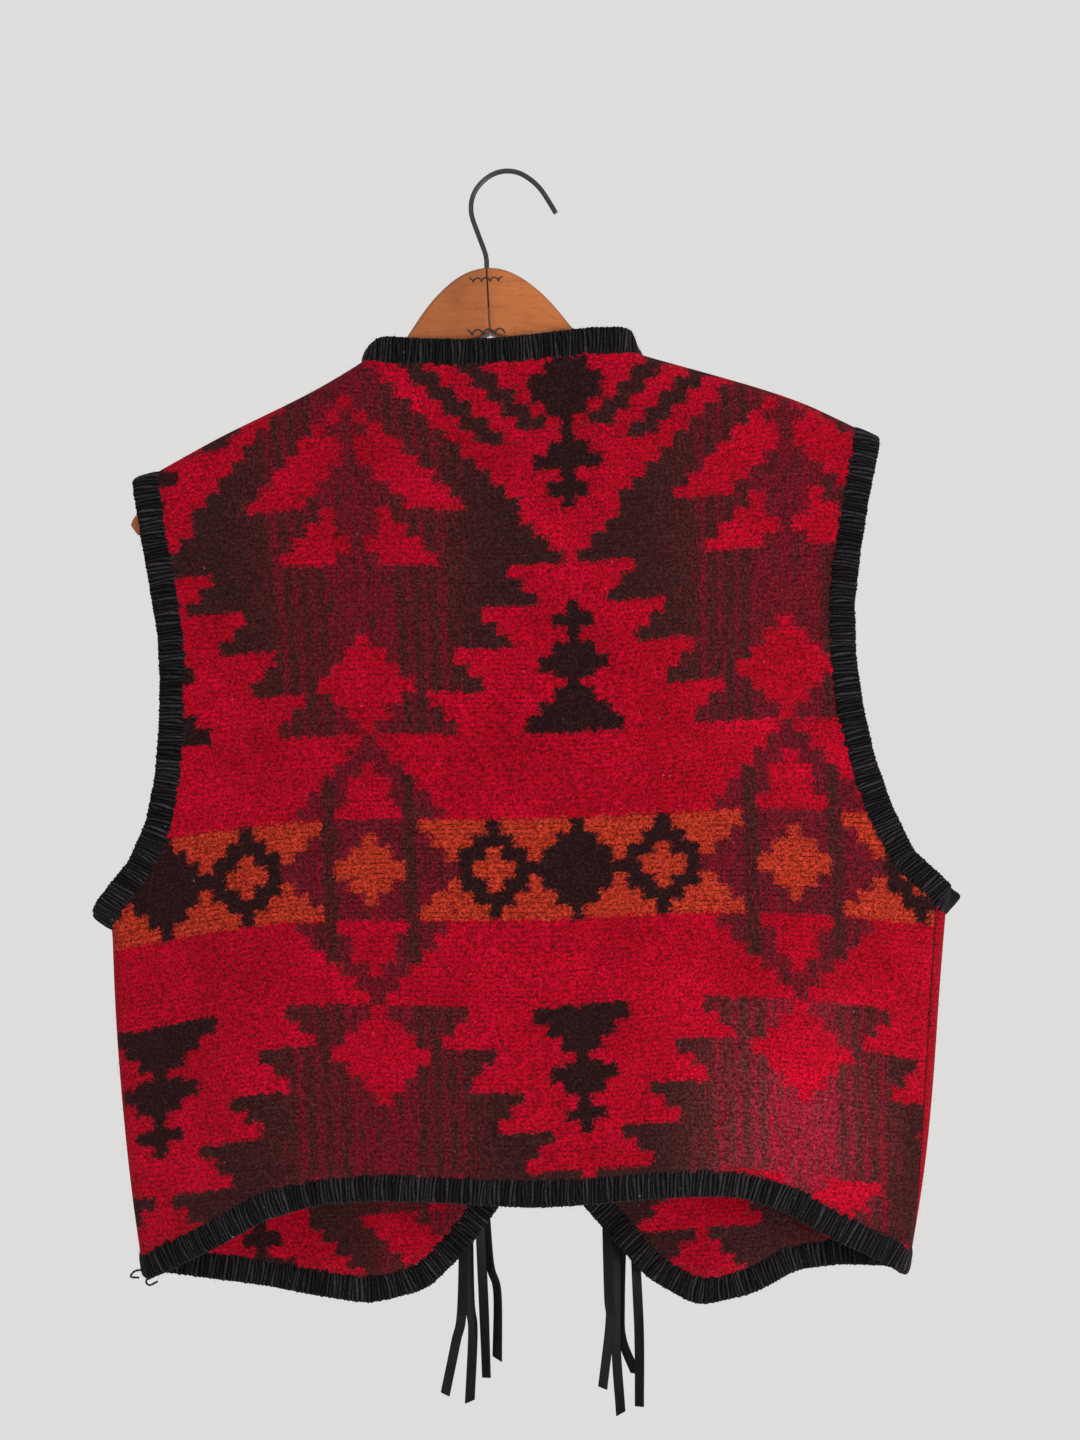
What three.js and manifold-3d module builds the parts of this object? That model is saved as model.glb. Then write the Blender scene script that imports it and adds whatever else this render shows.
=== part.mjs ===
// A western vest of felted jacquard wool, hung by its shoulders on a two-piece wooden hanger.
// Millimetres, +Z up. The origin is the inner crown of the hanger's hook.
// The vest's back faces -Y and its two pointed fronts face +Y. Left and right are as seen from -Y.
import * as THREE from "three";
import Module from "manifold-3d";
import { mergeVertices } from "three/addons/utils/BufferGeometryUtils.js";

const wasm = await Module();
wasm.setup();

// Cloth
const clothThickness = 2.4;
const seamGap = 0.3;
const shoulderFold = 9.8; // radius of the cloth where it turns over the hanger
const sideFold = 12.5; // radius of the cloth where it turns at the sides
const foldSteps = [0.06, 0.25, 0.5, 1]; // where the turn is cut into facets, in radii from the fold
const backBulge = 17; // how far the middle of the back stands out past the folds
const frontBulge = 2;
const bulgeReach = 0.36; // share of a panel's width or height over which the bulge grows
const foldReach = 60; // distance from an edge over which the soft folds grow
const foldChange = { start: 40, end: 260 }; // how far below the shoulder the side's radius takes over
const sideRows = 7;
const armholeRows = 9;
const shoulderColumns = 4;
const neckColumns = 6;
const frontColumns = 8;

// Binding
const bindingWidth = 14.5;
const bindingThickness = 5;
const bindingShoulder = 2.4; // width of the rounded rim of the binding's section
const leanRelief = 5; // how much wider the gap to the cloth is where the binding leans, in gaps

// Fronts
const centreFront = 22; // x where the two fronts meet
const frontEdge = bindingWidth + seamGap * 2.5; // from the centre to the cloth's own edge

// Ties
const thongWidth = 5;
const thongThickness = 1.5;
const thongSteps = 9;
const thongTip = 0.4; // width of a thong's cut end, in thong widths
const thongDrop = { across: 0.4, down: 0.35 }; // where a thong leaves its knot, towards its first point
const knot = { width: 17, depth: 9, height: 13 };

// Hanger
const woodThickness = 14;
const woodRounding = 3.5;
const jointGap = 0.3;
const halfReach = 300; // size of the block that parts the wood, more than an arm's length
const hangerTilt = THREE.MathUtils.degToRad(3); // the right arm hangs higher
const wireDiameter = 3.5;
const wireFit = 0.3;
const hookCrown = { x: 14.3, z: 60.25 }; // the inner crown of the hook, from the top of the wood
const wireInWood = 24;
const wireSides = 8;
const wireSteps = 34;

// Outlines of the cloth, from the front. Each is a short table of points that a smooth line runs through.
const shoulder = {
  left: [
    { x: -221, z: -192 },
    { x: -182, z: -170 },
    { x: -130, z: -145 },
    { x: -105, z: -132 },
    { x: -89, z: -121 },
  ],
  right: [
    { x: 225, z: -164 },
    { x: 189, z: -147 },
    { x: 138, z: -131 },
    { x: 112, z: -124 },
    { x: 87, z: -117 },
  ],
};
const backNeck = [
  { x: -89, z: -121 },
  { x: -65, z: -122 },
  { x: -30, z: -123 },
  { x: 10, z: -121 },
  { x: 48, z: -116 },
  { x: 70, z: -115 },
  { x: 87, z: -117 },
];
// From the underarm up to the shoulder
const armhole = {
  left: [
    { x: -249, z: -482 },
    { x: -242, z: -468 },
    { x: -229, z: -453 },
    { x: -217, z: -433 },
    { x: -208, z: -402 },
    { x: -203, z: -350 },
    { x: -204, z: -296 },
    { x: -213, z: -244 },
    { x: -221, z: -192 },
  ],
  right: [
    { x: 281, z: -472 },
    { x: 269, z: -461 },
    { x: 250, z: -444 },
    { x: 236, z: -419 },
    { x: 219, z: -372 },
    { x: 209, z: -318 },
    { x: 207, z: -282 },
    { x: 214, z: -222 },
    { x: 225, z: -164 },
  ],
};
// From the hem up to the underarm
const sideSeam = {
  left: [
    { x: -231, z: -690 },
    { x: -236, z: -655 },
    { x: -242, z: -600 },
    { x: -247, z: -535 },
    { x: -249, z: -482 },
  ],
  right: [
    { x: 259, z: -688 },
    { x: 267, z: -640 },
    { x: 273, z: -580 },
    { x: 277, z: -520 },
    { x: 281, z: -472 },
  ],
};
const backHem = [
  { x: -231, z: -690 },
  { x: -203, z: -676 },
  { x: -176, z: -661 },
  { x: -148, z: -645 },
  { x: -102, z: -635 },
  { x: -40, z: -634 },
  { x: 23, z: -637 },
  { x: 92, z: -632 },
  { x: 155, z: -633 },
  { x: 188, z: -646 },
  { x: 213, z: -662 },
  { x: 240, z: -672 },
  { x: 259, z: -688 },
];
// From the side seam to the centre, round the front's point
const frontHem = {
  left: [
    { x: -231, z: -690 },
    { x: -190, z: -696 },
    { x: -150, z: -702 },
    { x: -108, z: -710 },
    { x: -78, z: -713 },
    { x: -60, z: -707 },
    { x: -42, z: -692 },
    { x: -22, z: -664 },
    { x: centreFront - frontEdge, z: -630 },
  ],
  right: [
    { x: 259, z: -688 },
    { x: 212, z: -687 },
    { x: 178, z: -694 },
    { x: 154, z: -709 },
    { x: 130, z: -715 },
    { x: 110, z: -707 },
    { x: 88, z: -684 },
    { x: 66, z: -658 },
    { x: centreFront + frontEdge, z: -630 },
  ],
};
// From the centre up to the shoulder: the straight front edge and the V of the neck
const frontNeck = {
  left: [
    { x: centreFront - frontEdge, z: -630 },
    { x: centreFront - frontEdge, z: -560 },
    { x: centreFront - frontEdge, z: -480 },
    { x: centreFront - frontEdge - 0.7, z: -430 },
    { x: centreFront - frontEdge - 4, z: -390 },
    { x: -6, z: -346 },
    { x: -40, z: -256 },
    { x: -72, z: -168 },
    { x: -89, z: -121 },
  ],
  right: [
    { x: centreFront + frontEdge, z: -630 },
    { x: centreFront + frontEdge, z: -560 },
    { x: centreFront + frontEdge, z: -480 },
    { x: centreFront + frontEdge + 0.5, z: -430 },
    { x: centreFront + frontEdge + 3, z: -390 },
    { x: 47, z: -346 },
    { x: 63, z: -256 },
    { x: 79, z: -168 },
    { x: 87, z: -117 },
  ],
};
// How far a binding leans outwards from the cloth, in degrees
const lip = {
  neck: 35,
  left: { underarm: 42, shoulder: 12 },
  right: { underarm: 42, shoulder: 0 },
};
const lipReach = 34;

// The largest soft folds of the back: ridges are positive, troughs negative
const backFolds = [
  { x: -165, z: -610, width: 34, height: 90, lean: 0.25, depth: 5 },
  { x: -95, z: -590, width: 40, height: 110, lean: 0.1, depth: -4 },
  { x: 195, z: -600, width: 32, height: 100, lean: -0.15, depth: 5 },
  { x: 130, z: -560, width: 42, height: 120, lean: -0.1, depth: -3.5 },
  { x: -46, z: -205, width: 15, height: 45, lean: -0.1, depth: -2.5 },
  { x: 110, z: -270, width: 30, height: 80, lean: 0.6, depth: 1.5 },
  { x: -125, z: -280, width: 30, height: 80, lean: -0.6, depth: 1.5 },
];
const frontFolds = [
  { x: -140, z: -600, width: 36, height: 110, lean: 0.1, depth: 3 },
  { x: -60, z: -560, width: 34, height: 120, lean: 0, depth: -2 },
  { x: 150, z: -600, width: 36, height: 110, lean: -0.1, depth: 3 },
];

// Each thong runs down from its knot. The depth is its own layer, behind the front.
const ties = {
  left: {
    x: -20,
    z: -585,
    thongs: [
      { depth: 2, line: [{ x: -26, z: -660 }, { x: -28, z: -734 }, { x: -32, z: -756 }, { x: -39, z: -790 }] },
      { depth: 5, line: [{ x: -24, z: -660 }, { x: -23, z: -728 }, { x: -21, z: -750 }, { x: -23, z: -796 }] },
      { depth: 2, line: [{ x: -17, z: -660 }, { x: -14, z: -726 }, { x: -13, z: -751 }, { x: -12, z: -779 }] },
      { depth: 5, line: [{ x: -14, z: -660 }, { x: -10, z: -705 }, { x: -5, z: -724 }, { x: -5, z: -768 }] },
    ],
  },
  right: {
    x: 74,
    z: -585,
    thongs: [
      { depth: 2, line: [{ x: 67, z: -660 }, { x: 68, z: -724 }, { x: 69, z: -742 }, { x: 64, z: -786 }] },
      { depth: 5, line: [{ x: 73, z: -660 }, { x: 73, z: -728 }, { x: 73, z: -762 }, { x: 76, z: -804 }] },
      { depth: 2, line: [{ x: 83, z: -660 }, { x: 87, z: -730 }, { x: 88, z: -760 }, { x: 88, z: -798 }] },
      { depth: 8, line: [{ x: 77, z: -660 }, { x: 76, z: -730 }, { x: 77, z: -756 }, { x: 86, z: -779 }] },
    ],
  },
};

// Half of the hanger's outline from the middle outwards. d is the distance from the middle,
// and z is measured from the top of the wood.
const woodTop = [
  { d: 0, z: 0 },
  { d: 10.5, z: -1.2 },
  { d: 21, z: -6.5 },
  { d: 29, z: -13 },
  { d: 37, z: -20.5 },
  { d: 45, z: -30.5 },
  { d: 54.5, z: -44 },
  { d: 62, z: -51.5 },
  { d: 72, z: -57.5 },
  { d: 90, z: -66.5 },
  { d: 160, z: -105 },
  { d: 226, z: -142 },
  { d: 233, z: -147 },
];
const woodBottom = [
  { d: 235, z: -152 },
  { d: 232, z: -158 },
  { d: 225, z: -161 },
  { d: 150, z: -123 },
  { d: 80, z: -86 },
  { d: 30, z: -57 },
  { d: 12, z: -47.5 },
  { d: 0, z: -42 },
];
// Centre line of the hook's wire, above the wood, in the hanger's own frame
const hookLine = [
  { x: 0, z: 0 },
  { x: 0.3, z: 7 },
  { x: -4.4, z: 23 },
  { x: -8, z: 36 },
  { x: -7.4, z: 44 },
  { x: -4.8, z: 50.3 },
  { x: 0.8, z: 56.5 },
  { x: 8, z: 60.8 },
  { x: 16, z: 62.1 },
  { x: 23.5, z: 60.6 },
  { x: 30.5, z: 56.2 },
  { x: 36.5, z: 50.2 },
  { x: 41.5, z: 42 },
  { x: 46, z: 33.5 },
];

const colours = {
  wool: 0xa01225,
  yarn: 0x141415,
  leather: 0x17191a,
  wood: 0xa9672f,
  wire: 0x3a3b3e,
};
const finish = {
  wool: new THREE.MeshStandardMaterial({ color: colours.wool, roughness: 0.95 }),
  yarn: new THREE.MeshStandardMaterial({ color: colours.yarn, roughness: 0.9 }),
  leather: new THREE.MeshStandardMaterial({ color: colours.leather, roughness: 0.6 }),
  wood: new THREE.MeshStandardMaterial({ color: colours.wood, roughness: 0.45 }),
  wire: new THREE.MeshStandardMaterial({ color: colours.wire, roughness: 0.4, metalness: 0.9 }),
};

const { lerp, clamp, smoothstep } = THREE.MathUtils;
const alongY = new THREE.Vector3(0, 1, 0);

// The depth of a quarter-round fold at a distance of q radii from its line
function quarterRound(q) {
  return Math.sqrt(1 - (1 - clamp(q, 0, 1)) ** 2);
}

// A smooth line through a table of points
function lineThrough(table) {
  const points = table.map((row) => new THREE.Vector3(row.x, 0, row.z));
  const line = new THREE.CatmullRomCurve3(points, false, "centripetal");
  line.arcLengthDivisions = 600;
  return line;
}

// Distances along a line: close together over a fold at either end, and even between
function distancesAlong(length, steps, startFold, endFold) {
  const start = [0, ...foldSteps.map((step) => step * startFold)];
  const end = [...foldSteps.map((step) => length - step * endFold).reverse(), length];
  const first = startFold ? start : [0];
  const last = endFold ? end : [length];
  const from = first.at(-1);
  const to = last[0];
  const between = Array.from({ length: steps - 1 }, (_, i) => lerp(from, to, (i + 1) / steps));
  return [...first, ...between, ...last];
}

// An edge of a panel. Each of its points says how far the cloth is open there:
// 0 on a seam that lies on a fold, 1 on a free edge, and between them where one runs into the other.
function edgeOf(table, steps, { startFold = 0, endFold = 0, open = () => 1 } = {}) {
  const line = lineThrough(table);
  const length = line.getLength();
  return distancesAlong(length, steps, startFold, endFold).map((distance) => {
    const u = clamp(distance / length, 0, 1);
    const point = line.getPointAt(u);
    const tangent = line.getTangentAt(u);
    return { x: point.x, z: point.z, tangent, distance, length, open: open(distance, length) };
  });
}

function joined(...edges) {
  return edges.reduce((whole, edge) => [...whole, ...edge.slice(whole.length ? 1 : 0)], []);
}

// Shares of a panel's width or height at which its inner rows or columns lie
function sharesOf(edge) {
  const sums = [0];
  edge.slice(1).forEach((point, i) => {
    sums.push(sums[i] + Math.hypot(point.x - edge[i].x, point.z - edge[i].z));
  });
  return sums.map((sum) => sum / sums.at(-1));
}

function foldDepth(folds, x, z) {
  return folds.reduce((sum, fold) => {
    const along = (z - fold.z) / fold.height;
    const across = (x - fold.x - fold.lean * (z - fold.z)) / fold.width;
    return sum + fold.depth * Math.exp(-(along ** 2) - across ** 2);
  }, 0);
}

// A panel of cloth: a net of points at the middle of the wall, with the wall's direction at each.
// Its edges run left to right (bottom, top) and upwards (left, right).
function panelOf({ bottom, top, left, right, facing, bulge, folds }) {
  const columns = bottom.length;
  const rows = left.length;
  const across = sharesOf(bottom).map((share, i) => (share + sharesOf(top)[i]) / 2);
  const up = sharesOf(left).map((share, j) => (share + sharesOf(right)[j]) / 2);
  const flat = (i, j) => {
    const u = across[i];
    const v = up[j];
    return ["x", "z"].map(
      (axis) =>
        lerp(bottom[i][axis], top[i][axis], v) +
        lerp(left[j][axis], right[j][axis], u) -
        lerp(
          lerp(bottom[0][axis], bottom[columns - 1][axis], u),
          lerp(top[0][axis], top[columns - 1][axis], u),
          v,
        ),
    );
  };
  const plan = Array.from({ length: columns }, (_, i) =>
    Array.from({ length: rows }, (__, j) => flat(i, j)),
  );
  const apart = (a, b) => Math.hypot(a[0] - b[0], a[1] - b[1]);
  const points = plan.map((column, i) =>
    column.map(([x, z], j) => {
      const fromTop = apart([x, z], column[rows - 1]);
      const fromLeft = apart([x, z], plan[0][j]);
      const fromRight = apart([x, z], plan[columns - 1][j]);
      const fromEdge = Math.min(fromLeft, fromRight);
      const radius = lerp(shoulderFold, sideFold, smoothstep(fromTop, foldChange.start, foldChange.end));
      const overShoulder = lerp(quarterRound(fromTop / shoulderFold), 1, top[i].open);
      const leftTurn = lerp(quarterRound(fromLeft / sideFold), 1, left[j].open);
      const rightTurn = lerp(quarterRound(fromRight / sideFold), 1, right[j].open);
      const inward = Math.min(left[j].free ? 1 : across[i], right[j].free ? 1 : 1 - across[i]);
      const grown = smoothstep(1 - up[j], 0, bulgeReach) * smoothstep(inward, 0, bulgeReach);
      const loose = smoothstep(fromTop, 0, foldReach) * smoothstep(fromEdge, 0, foldReach);
      const depth =
        radius * overShoulder * leftTurn * rightTurn +
        bulge * grown +
        foldDepth(folds, x, z) * loose;
      return new THREE.Vector3(x, facing * (depth + seamGap / 2), z);
    }),
  );
  return { points, directions: directionsOf(points, { top, left, right, facing }), columns, rows };
}

// The wall's outward direction at each point of a panel. On a seam it has no part along Y,
// so that the two panels' edges meet face to face.
function directionsOf(points, { top, left, right, facing }) {
  const columns = points.length;
  const rows = points[0].length;
  const directions = points.map((column) => column.map(() => new THREE.Vector3()));
  for (let i = 0; i < columns - 1; i++)
    for (let j = 0; j < rows - 1; j++) {
      const a = points[i][j];
      const across = points[i + 1][j + 1].clone().sub(a);
      const back = points[i][j + 1].clone().sub(points[i + 1][j]);
      const normal = across.cross(back).multiplyScalar(-facing);
      for (const [m, n] of [[i, j], [i + 1, j], [i, j + 1], [i + 1, j + 1]])
        directions[m][n].add(normal);
    }
  directions.forEach((column) => column.forEach((direction) => direction.normalize()));
  const square = (i, j, tangent, sign) => {
    directions[i][j].crossVectors(tangent, alongY).multiplyScalar(sign).normalize();
  };
  top.forEach((point, i) => {
    if (point.open === 0) square(i, rows - 1, point.tangent, point.seamSign);
  });
  left.forEach((point, j) => {
    if (point.open === 0 && j < rows - 1) square(0, j, point.tangent, point.seamSign);
  });
  right.forEach((point, j) => {
    if (point.open === 0 && j < rows - 1) square(columns - 1, j, point.tangent, point.seamSign);
  });
  return directions;
}

// Marks the points of an edge with what the panels need to know of it
function marked(edge, marks) {
  return edge.map((point) => ({ ...point, ...marks }));
}

// Leans a binding's section from the cloth's plane towards its outer side near some spots of its run
function leanNear(chain, spots) {
  for (const place of chain) {
    const degrees = spots.reduce((sum, spot) => {
      const away = place.point.distanceTo(spot.point);
      return sum + spot.degrees * (1 - smoothstep(away, 0, lipReach));
    }, 0);
    place.lean = THREE.MathUtils.degToRad(degrees);
  }
}

// The places where a binding's section stands along a chain of edge points.
// out points away from the cloth, and face is the wall's direction.
function stationsOf(chain, turn, { closed = false } = {}) {
  const count = chain.length;
  return chain.map((place, k) => {
    const before = closed ? chain[(k + count - 1) % count] : chain[Math.max(k - 1, 0)];
    const after = closed ? chain[(k + 1) % count] : chain[Math.min(k + 1, count - 1)];
    const tangent = place.square
      ? alongY.clone().multiplyScalar(Math.sign(after.point.y - before.point.y))
      : after.point.clone().sub(before.point).normalize();
    const face = place.face.clone();
    const out = new THREE.Vector3().crossVectors(face, tangent).multiplyScalar(turn).normalize();
    face.crossVectors(tangent, out).multiplyScalar(turn).normalize();
    const leaned = out.clone().multiplyScalar(Math.cos(place.lean)).addScaledVector(face, Math.sin(place.lean));
    const faced = face.clone().multiplyScalar(Math.cos(place.lean)).addScaledVector(out, -Math.sin(place.lean));
    return { ...place, out: leaned, face: faced };
  });
}

// A closed solid from rings of points. Each ring has the same number of points.
function solidOfRings(rings, closed) {
  const sides = rings[0].length;
  const positions = rings.flat().flatMap((point) => [point.x, point.y, point.z]);
  const indices = [];
  const spans = closed ? rings.length : rings.length - 1;
  for (let k = 0; k < spans; k++)
    for (let s = 0; s < sides; s++) {
      const a = k * sides + s;
      const b = k * sides + ((s + 1) % sides);
      const c = ((k + 1) % rings.length) * sides + ((s + 1) % sides);
      const d = ((k + 1) % rings.length) * sides + s;
      indices.push(a, b, c, a, c, d);
    }
  if (!closed)
    for (let s = 1; s < sides - 1; s++) {
      const end = (rings.length - 1) * sides;
      indices.push(0, s + 1, s);
      indices.push(end, end + s, end + s + 1);
    }
  return facingOut(geometryOf(positions, indices));
}

function geometryOf(positions, indices) {
  const geometry = new THREE.BufferGeometry();
  geometry.setAttribute("position", new THREE.Float32BufferAttribute(positions, 3));
  geometry.setIndex(indices);
  return geometry;
}

// Turns the faces round if they point inwards
function facingOut(geometry) {
  const position = geometry.getAttribute("position");
  const index = geometry.index;
  const corner = (k) => new THREE.Vector3().fromBufferAttribute(position, index.getX(k));
  let volume = 0;
  for (let k = 0; k < index.count; k += 3)
    volume += corner(k).dot(corner(k + 1).cross(corner(k + 2)));
  if (volume < 0)
    for (let k = 0; k < index.count; k += 3) {
      const second = index.getX(k + 1);
      index.setX(k + 1, index.getX(k + 2));
      index.setX(k + 2, second);
    }
  return geometry;
}

// The wall of a panel: its net moved out and in by half the cloth's thickness, closed round the rim
function wallOf({ points, directions, columns, rows }) {
  const positions = [];
  for (const side of [1, -1])
    points.forEach((column, i) =>
      column.forEach((point, j) => {
        const moved = point.clone().addScaledVector(directions[i][j], (side * clothThickness) / 2);
        positions.push(moved.x, moved.y, moved.z);
      }),
    );
  const outer = (i, j) => i * rows + j;
  const inner = (i, j) => columns * rows + i * rows + j;
  const indices = [];
  const quad = (a, b, c, d) => indices.push(a, b, c, a, c, d);
  for (let i = 0; i < columns - 1; i++)
    for (let j = 0; j < rows - 1; j++) {
      quad(outer(i, j), outer(i + 1, j), outer(i + 1, j + 1), outer(i, j + 1));
      quad(inner(i, j), inner(i, j + 1), inner(i + 1, j + 1), inner(i + 1, j));
    }
  for (let i = 0; i < columns - 1; i++) {
    quad(outer(i, 0), inner(i, 0), inner(i + 1, 0), outer(i + 1, 0));
    quad(outer(i, rows - 1), outer(i + 1, rows - 1), inner(i + 1, rows - 1), inner(i, rows - 1));
  }
  for (let j = 0; j < rows - 1; j++) {
    quad(outer(0, j), outer(0, j + 1), inner(0, j + 1), inner(0, j));
    quad(outer(columns - 1, j), inner(columns - 1, j), inner(columns - 1, j + 1), outer(columns - 1, j + 1));
  }
  return facingOut(geometryOf(positions, indices));
}

// A binding: a flat bar with rounded rims, butted against the cloth's edge
function bindingOf(stations, closed = false) {
  const far = seamGap + bindingWidth;
  const half = bindingThickness / 2;
  const rings = stations.map(({ point, out, face, lean }) => {
    const near = seamGap * (1 + leanRelief * Math.sin(lean));
    const section = [
      { out: near, face: clothThickness / 2 },
      { out: near + bindingShoulder, face: half },
      { out: far - bindingShoulder, face: half },
      { out: far, face: half / 2 },
      { out: far, face: -half / 2 },
      { out: far - bindingShoulder, face: -half },
      { out: near + bindingShoulder, face: -half },
      { out: near, face: -clothThickness / 2 },
    ];
    return section.map((corner) =>
      point.clone().addScaledVector(out, corner.out).addScaledVector(face, corner.face),
    );
  });
  return solidOfRings(rings, closed);
}

// Edges of the cloth
const atUnderarm = (distance) => quarterRound(distance / sideFold);
const onSeam = () => 0;
const seamSign = { left: 1, right: -1 }; // which side of a seam's direction is the outside

function outerEdge(side) {
  const seam = edgeOf(sideSeam[side], sideRows, { open: onSeam });
  const hole = edgeOf(armhole[side], armholeRows, {
    startFold: sideFold,
    endFold: shoulderFold,
    open: atUnderarm,
  });
  return marked(joined(seam, hole), { seamSign: seamSign[side] });
}

function shoulderEdge(side, steps) {
  const edge = edgeOf(shoulder[side], steps, { startFold: sideFold, open: onSeam });
  return marked(edge, { seamSign: seamSign[side] });
}

const atNeckPoint = (distance, length) =>
  quarterRound(Math.min(distance, length - distance) / shoulderFold);
const neckEdge = edgeOf(backNeck, neckColumns, {
  startFold: shoulderFold,
  endFold: shoulderFold,
  open: atNeckPoint,
});
const backTop = [
  ...shoulderEdge("left", shoulderColumns),
  ...neckEdge.slice(1, -1),
  ...shoulderEdge("right", shoulderColumns).reverse(),
];
// The hem has as many points as the top, spread in the same shares
const hemShares = sharesOf(backTop);
const backBottom = (() => {
  const line = lineThrough(backHem);
  const length = line.getLength();
  const last = hemShares.length - 1;
  const awayFrom = (i, end) =>
    Math.hypot(backTop[i].x - backTop[end].x, backTop[i].z - backTop[end].z) / length;
  return hemShares.map((share, i) => {
    let u = share;
    if (i <= foldSteps.length) u = awayFrom(i, 0);
    if (i >= last - foldSteps.length) u = 1 - awayFrom(i, last);
    const point = line.getPointAt(clamp(u, 0, 1));
    return { x: point.x, z: point.z, open: 1 };
  });
})();

const back = panelOf({
  bottom: backBottom,
  top: backTop,
  left: outerEdge("left"),
  right: outerEdge("right"),
  facing: -1,
  bulge: backBulge,
  folds: backFolds,
});

function frontOf(side) {
  const outer = outerEdge(side);
  const shares = sharesOf(outer);
  const neckLine = lineThrough(frontNeck[side]);
  const inner = shares.map((share) => {
    const point = neckLine.getPointAt(share);
    return { x: point.x, z: point.z, open: 1, free: true };
  });
  const top = shoulderEdge(side, frontColumns);
  const bottom = edgeOf(frontHem[side], frontColumns, { startFold: sideFold });
  const fromLeft = side === "left";
  return panelOf({
    bottom: fromLeft ? bottom : bottom.reverse(),
    top: fromLeft ? top : top.reverse(),
    left: fromLeft ? outer : inner,
    right: fromLeft ? inner : outer,
    facing: 1,
    bulge: frontBulge,
    folds: frontFolds,
  });
}
const front = { left: frontOf("left"), right: frontOf("right") };

// Places along a panel's edge, for a binding
function placesOf(panel, pairs) {
  return pairs.map(([i, j]) => ({
    point: panel.points[i][j].clone(),
    face: panel.directions[i][j].clone(),
    lean: 0,
    source: panel.directions[i][j],
  }));
}

const countTo = (last, first = 0) => Array.from({ length: last - first + 1 }, (_, k) => first + k);
const lastRow = back.rows - 1;
const lastColumn = back.columns - 1;
const shoulderCount = shoulderColumns + foldSteps.length;

// A place on a seam, midway between the two panels, where a ring of binding crosses it
function squared(place) {
  place.point.y = 0;
  place.square = true;
  return place;
}

// Along a ring that crosses the seams at its first place and in its middle
function armholeBinding(side) {
  const backColumn = side === "left" ? 0 : lastColumn;
  const frontColumn = side === "left" ? 0 : front[side].columns - 1;
  const rise = countTo(lastRow, sideRows);
  const behind = placesOf(back, rise.map((j) => [backColumn, j]));
  const ahead = placesOf(front[side], rise.map((j) => [frontColumn, j])).reverse();
  squared(behind[0]);
  squared(behind.at(-1));
  const chain = [...behind, ...ahead.slice(1, -1)];
  leanNear(chain, [
    { point: behind[0].point, degrees: lip[side].underarm },
    { point: behind.at(-1).point, degrees: lip[side].shoulder },
  ]);
  const stations = stationsOf(chain, side === "left" ? 1 : -1, { closed: true });
  // The cloth's edge follows the binding's lean, on both panels
  stations.forEach((station) => station.source.copy(station.face));
  front[side].directions[frontColumn][sideRows].copy(stations[0].face);
  front[side].directions[frontColumn][lastRow].copy(stations[behind.length - 1].face);
  return bindingOf(stations, true);
}

// Along an open run of edge whose two ends lie on seams. It leans over at the ends that are neck points.
function openBinding(panel, pairs, turn, endY, neckEnds) {
  const chain = placesOf(panel, pairs);
  const ends = [chain[0], chain.at(-1)];
  for (const end of ends) {
    end.point.y = endY;
    end.square = true;
  }
  leanNear(chain, ends.slice(0, neckEnds).map((end) => ({ point: end.point, degrees: lip.neck })));
  const stations = stationsOf(chain, turn);
  stations.forEach((station) => station.source.copy(station.face));
  return bindingOf(stations);
}

function neckBinding() {
  const run = countTo(lastColumn - shoulderCount, shoulderCount);
  return openBinding(back, run.map((i) => [i, lastRow]), 1, -seamGap / 2, 2);
}

function hemBinding() {
  return openBinding(back, countTo(lastColumn).map((i) => [i, 0]), -1, -seamGap / 2, 0);
}

// From the shoulder down the neck and the front edge, round the point and back to the side seam
function frontBinding(side) {
  const panel = front[side];
  const inner = side === "left" ? panel.columns - 1 : 0;
  const across = countTo(panel.columns - 1);
  const hem = side === "left" ? across.reverse() : across;
  const down = countTo(lastRow).reverse();
  const pairs = [...down.map((j) => [inner, j]), ...hem.slice(1).map((i) => [i, 0])];
  return openBinding(panel, pairs, side === "left" ? -1 : 1, seamGap / 2, 1);
}

// Manifold solids, for joining and cutting
function solidFrom(geometry) {
  const bare = geometry.clone();
  bare.deleteAttribute("normal");
  bare.deleteAttribute("uv");
  const merged = mergeVertices(bare, 1e-3);
  return new wasm.Manifold(
    new wasm.Mesh({
      numProp: 3,
      vertProperties: merged.getAttribute("position").array,
      triVerts: new Uint32Array(merged.index.array),
    }),
  );
}

function geometryFrom(solid) {
  const mesh = solid.getMesh();
  return geometryOf(Array.from(mesh.vertProperties), Array.from(mesh.triVerts));
}

// A leather thong: a flat strip that ends in a narrower tip
function thongOf(start, thong) {
  const layer = start.y + thong.depth;
  const line = new THREE.CatmullRomCurve3([
    start,
    new THREE.Vector3(
      lerp(start.x, thong.line[0].x, thongDrop.across),
      layer,
      lerp(start.z, thong.line[0].z, thongDrop.down),
    ),
    ...thong.line.map((row) => new THREE.Vector3(row.x, layer, row.z)),
  ]);
  const rings = countTo(thongSteps).map((k) => {
    const u = k / thongSteps;
    const point = line.getPointAt(u);
    const tangent = line.getTangentAt(u);
    const width = new THREE.Vector3().crossVectors(alongY, tangent).normalize();
    const depth = new THREE.Vector3().crossVectors(tangent, width).normalize();
    const half = (k === thongSteps ? thongTip : 1) * (thongWidth / 2);
    const corner = (w, d) =>
      point.clone().addScaledVector(width, w * half).addScaledVector(depth, (d * thongThickness) / 2);
    return [corner(1, 1), corner(-1, 1), corner(-1, -1), corner(1, -1)];
  });
  return solidFrom(solidOfRings(rings, false));
}

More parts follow.
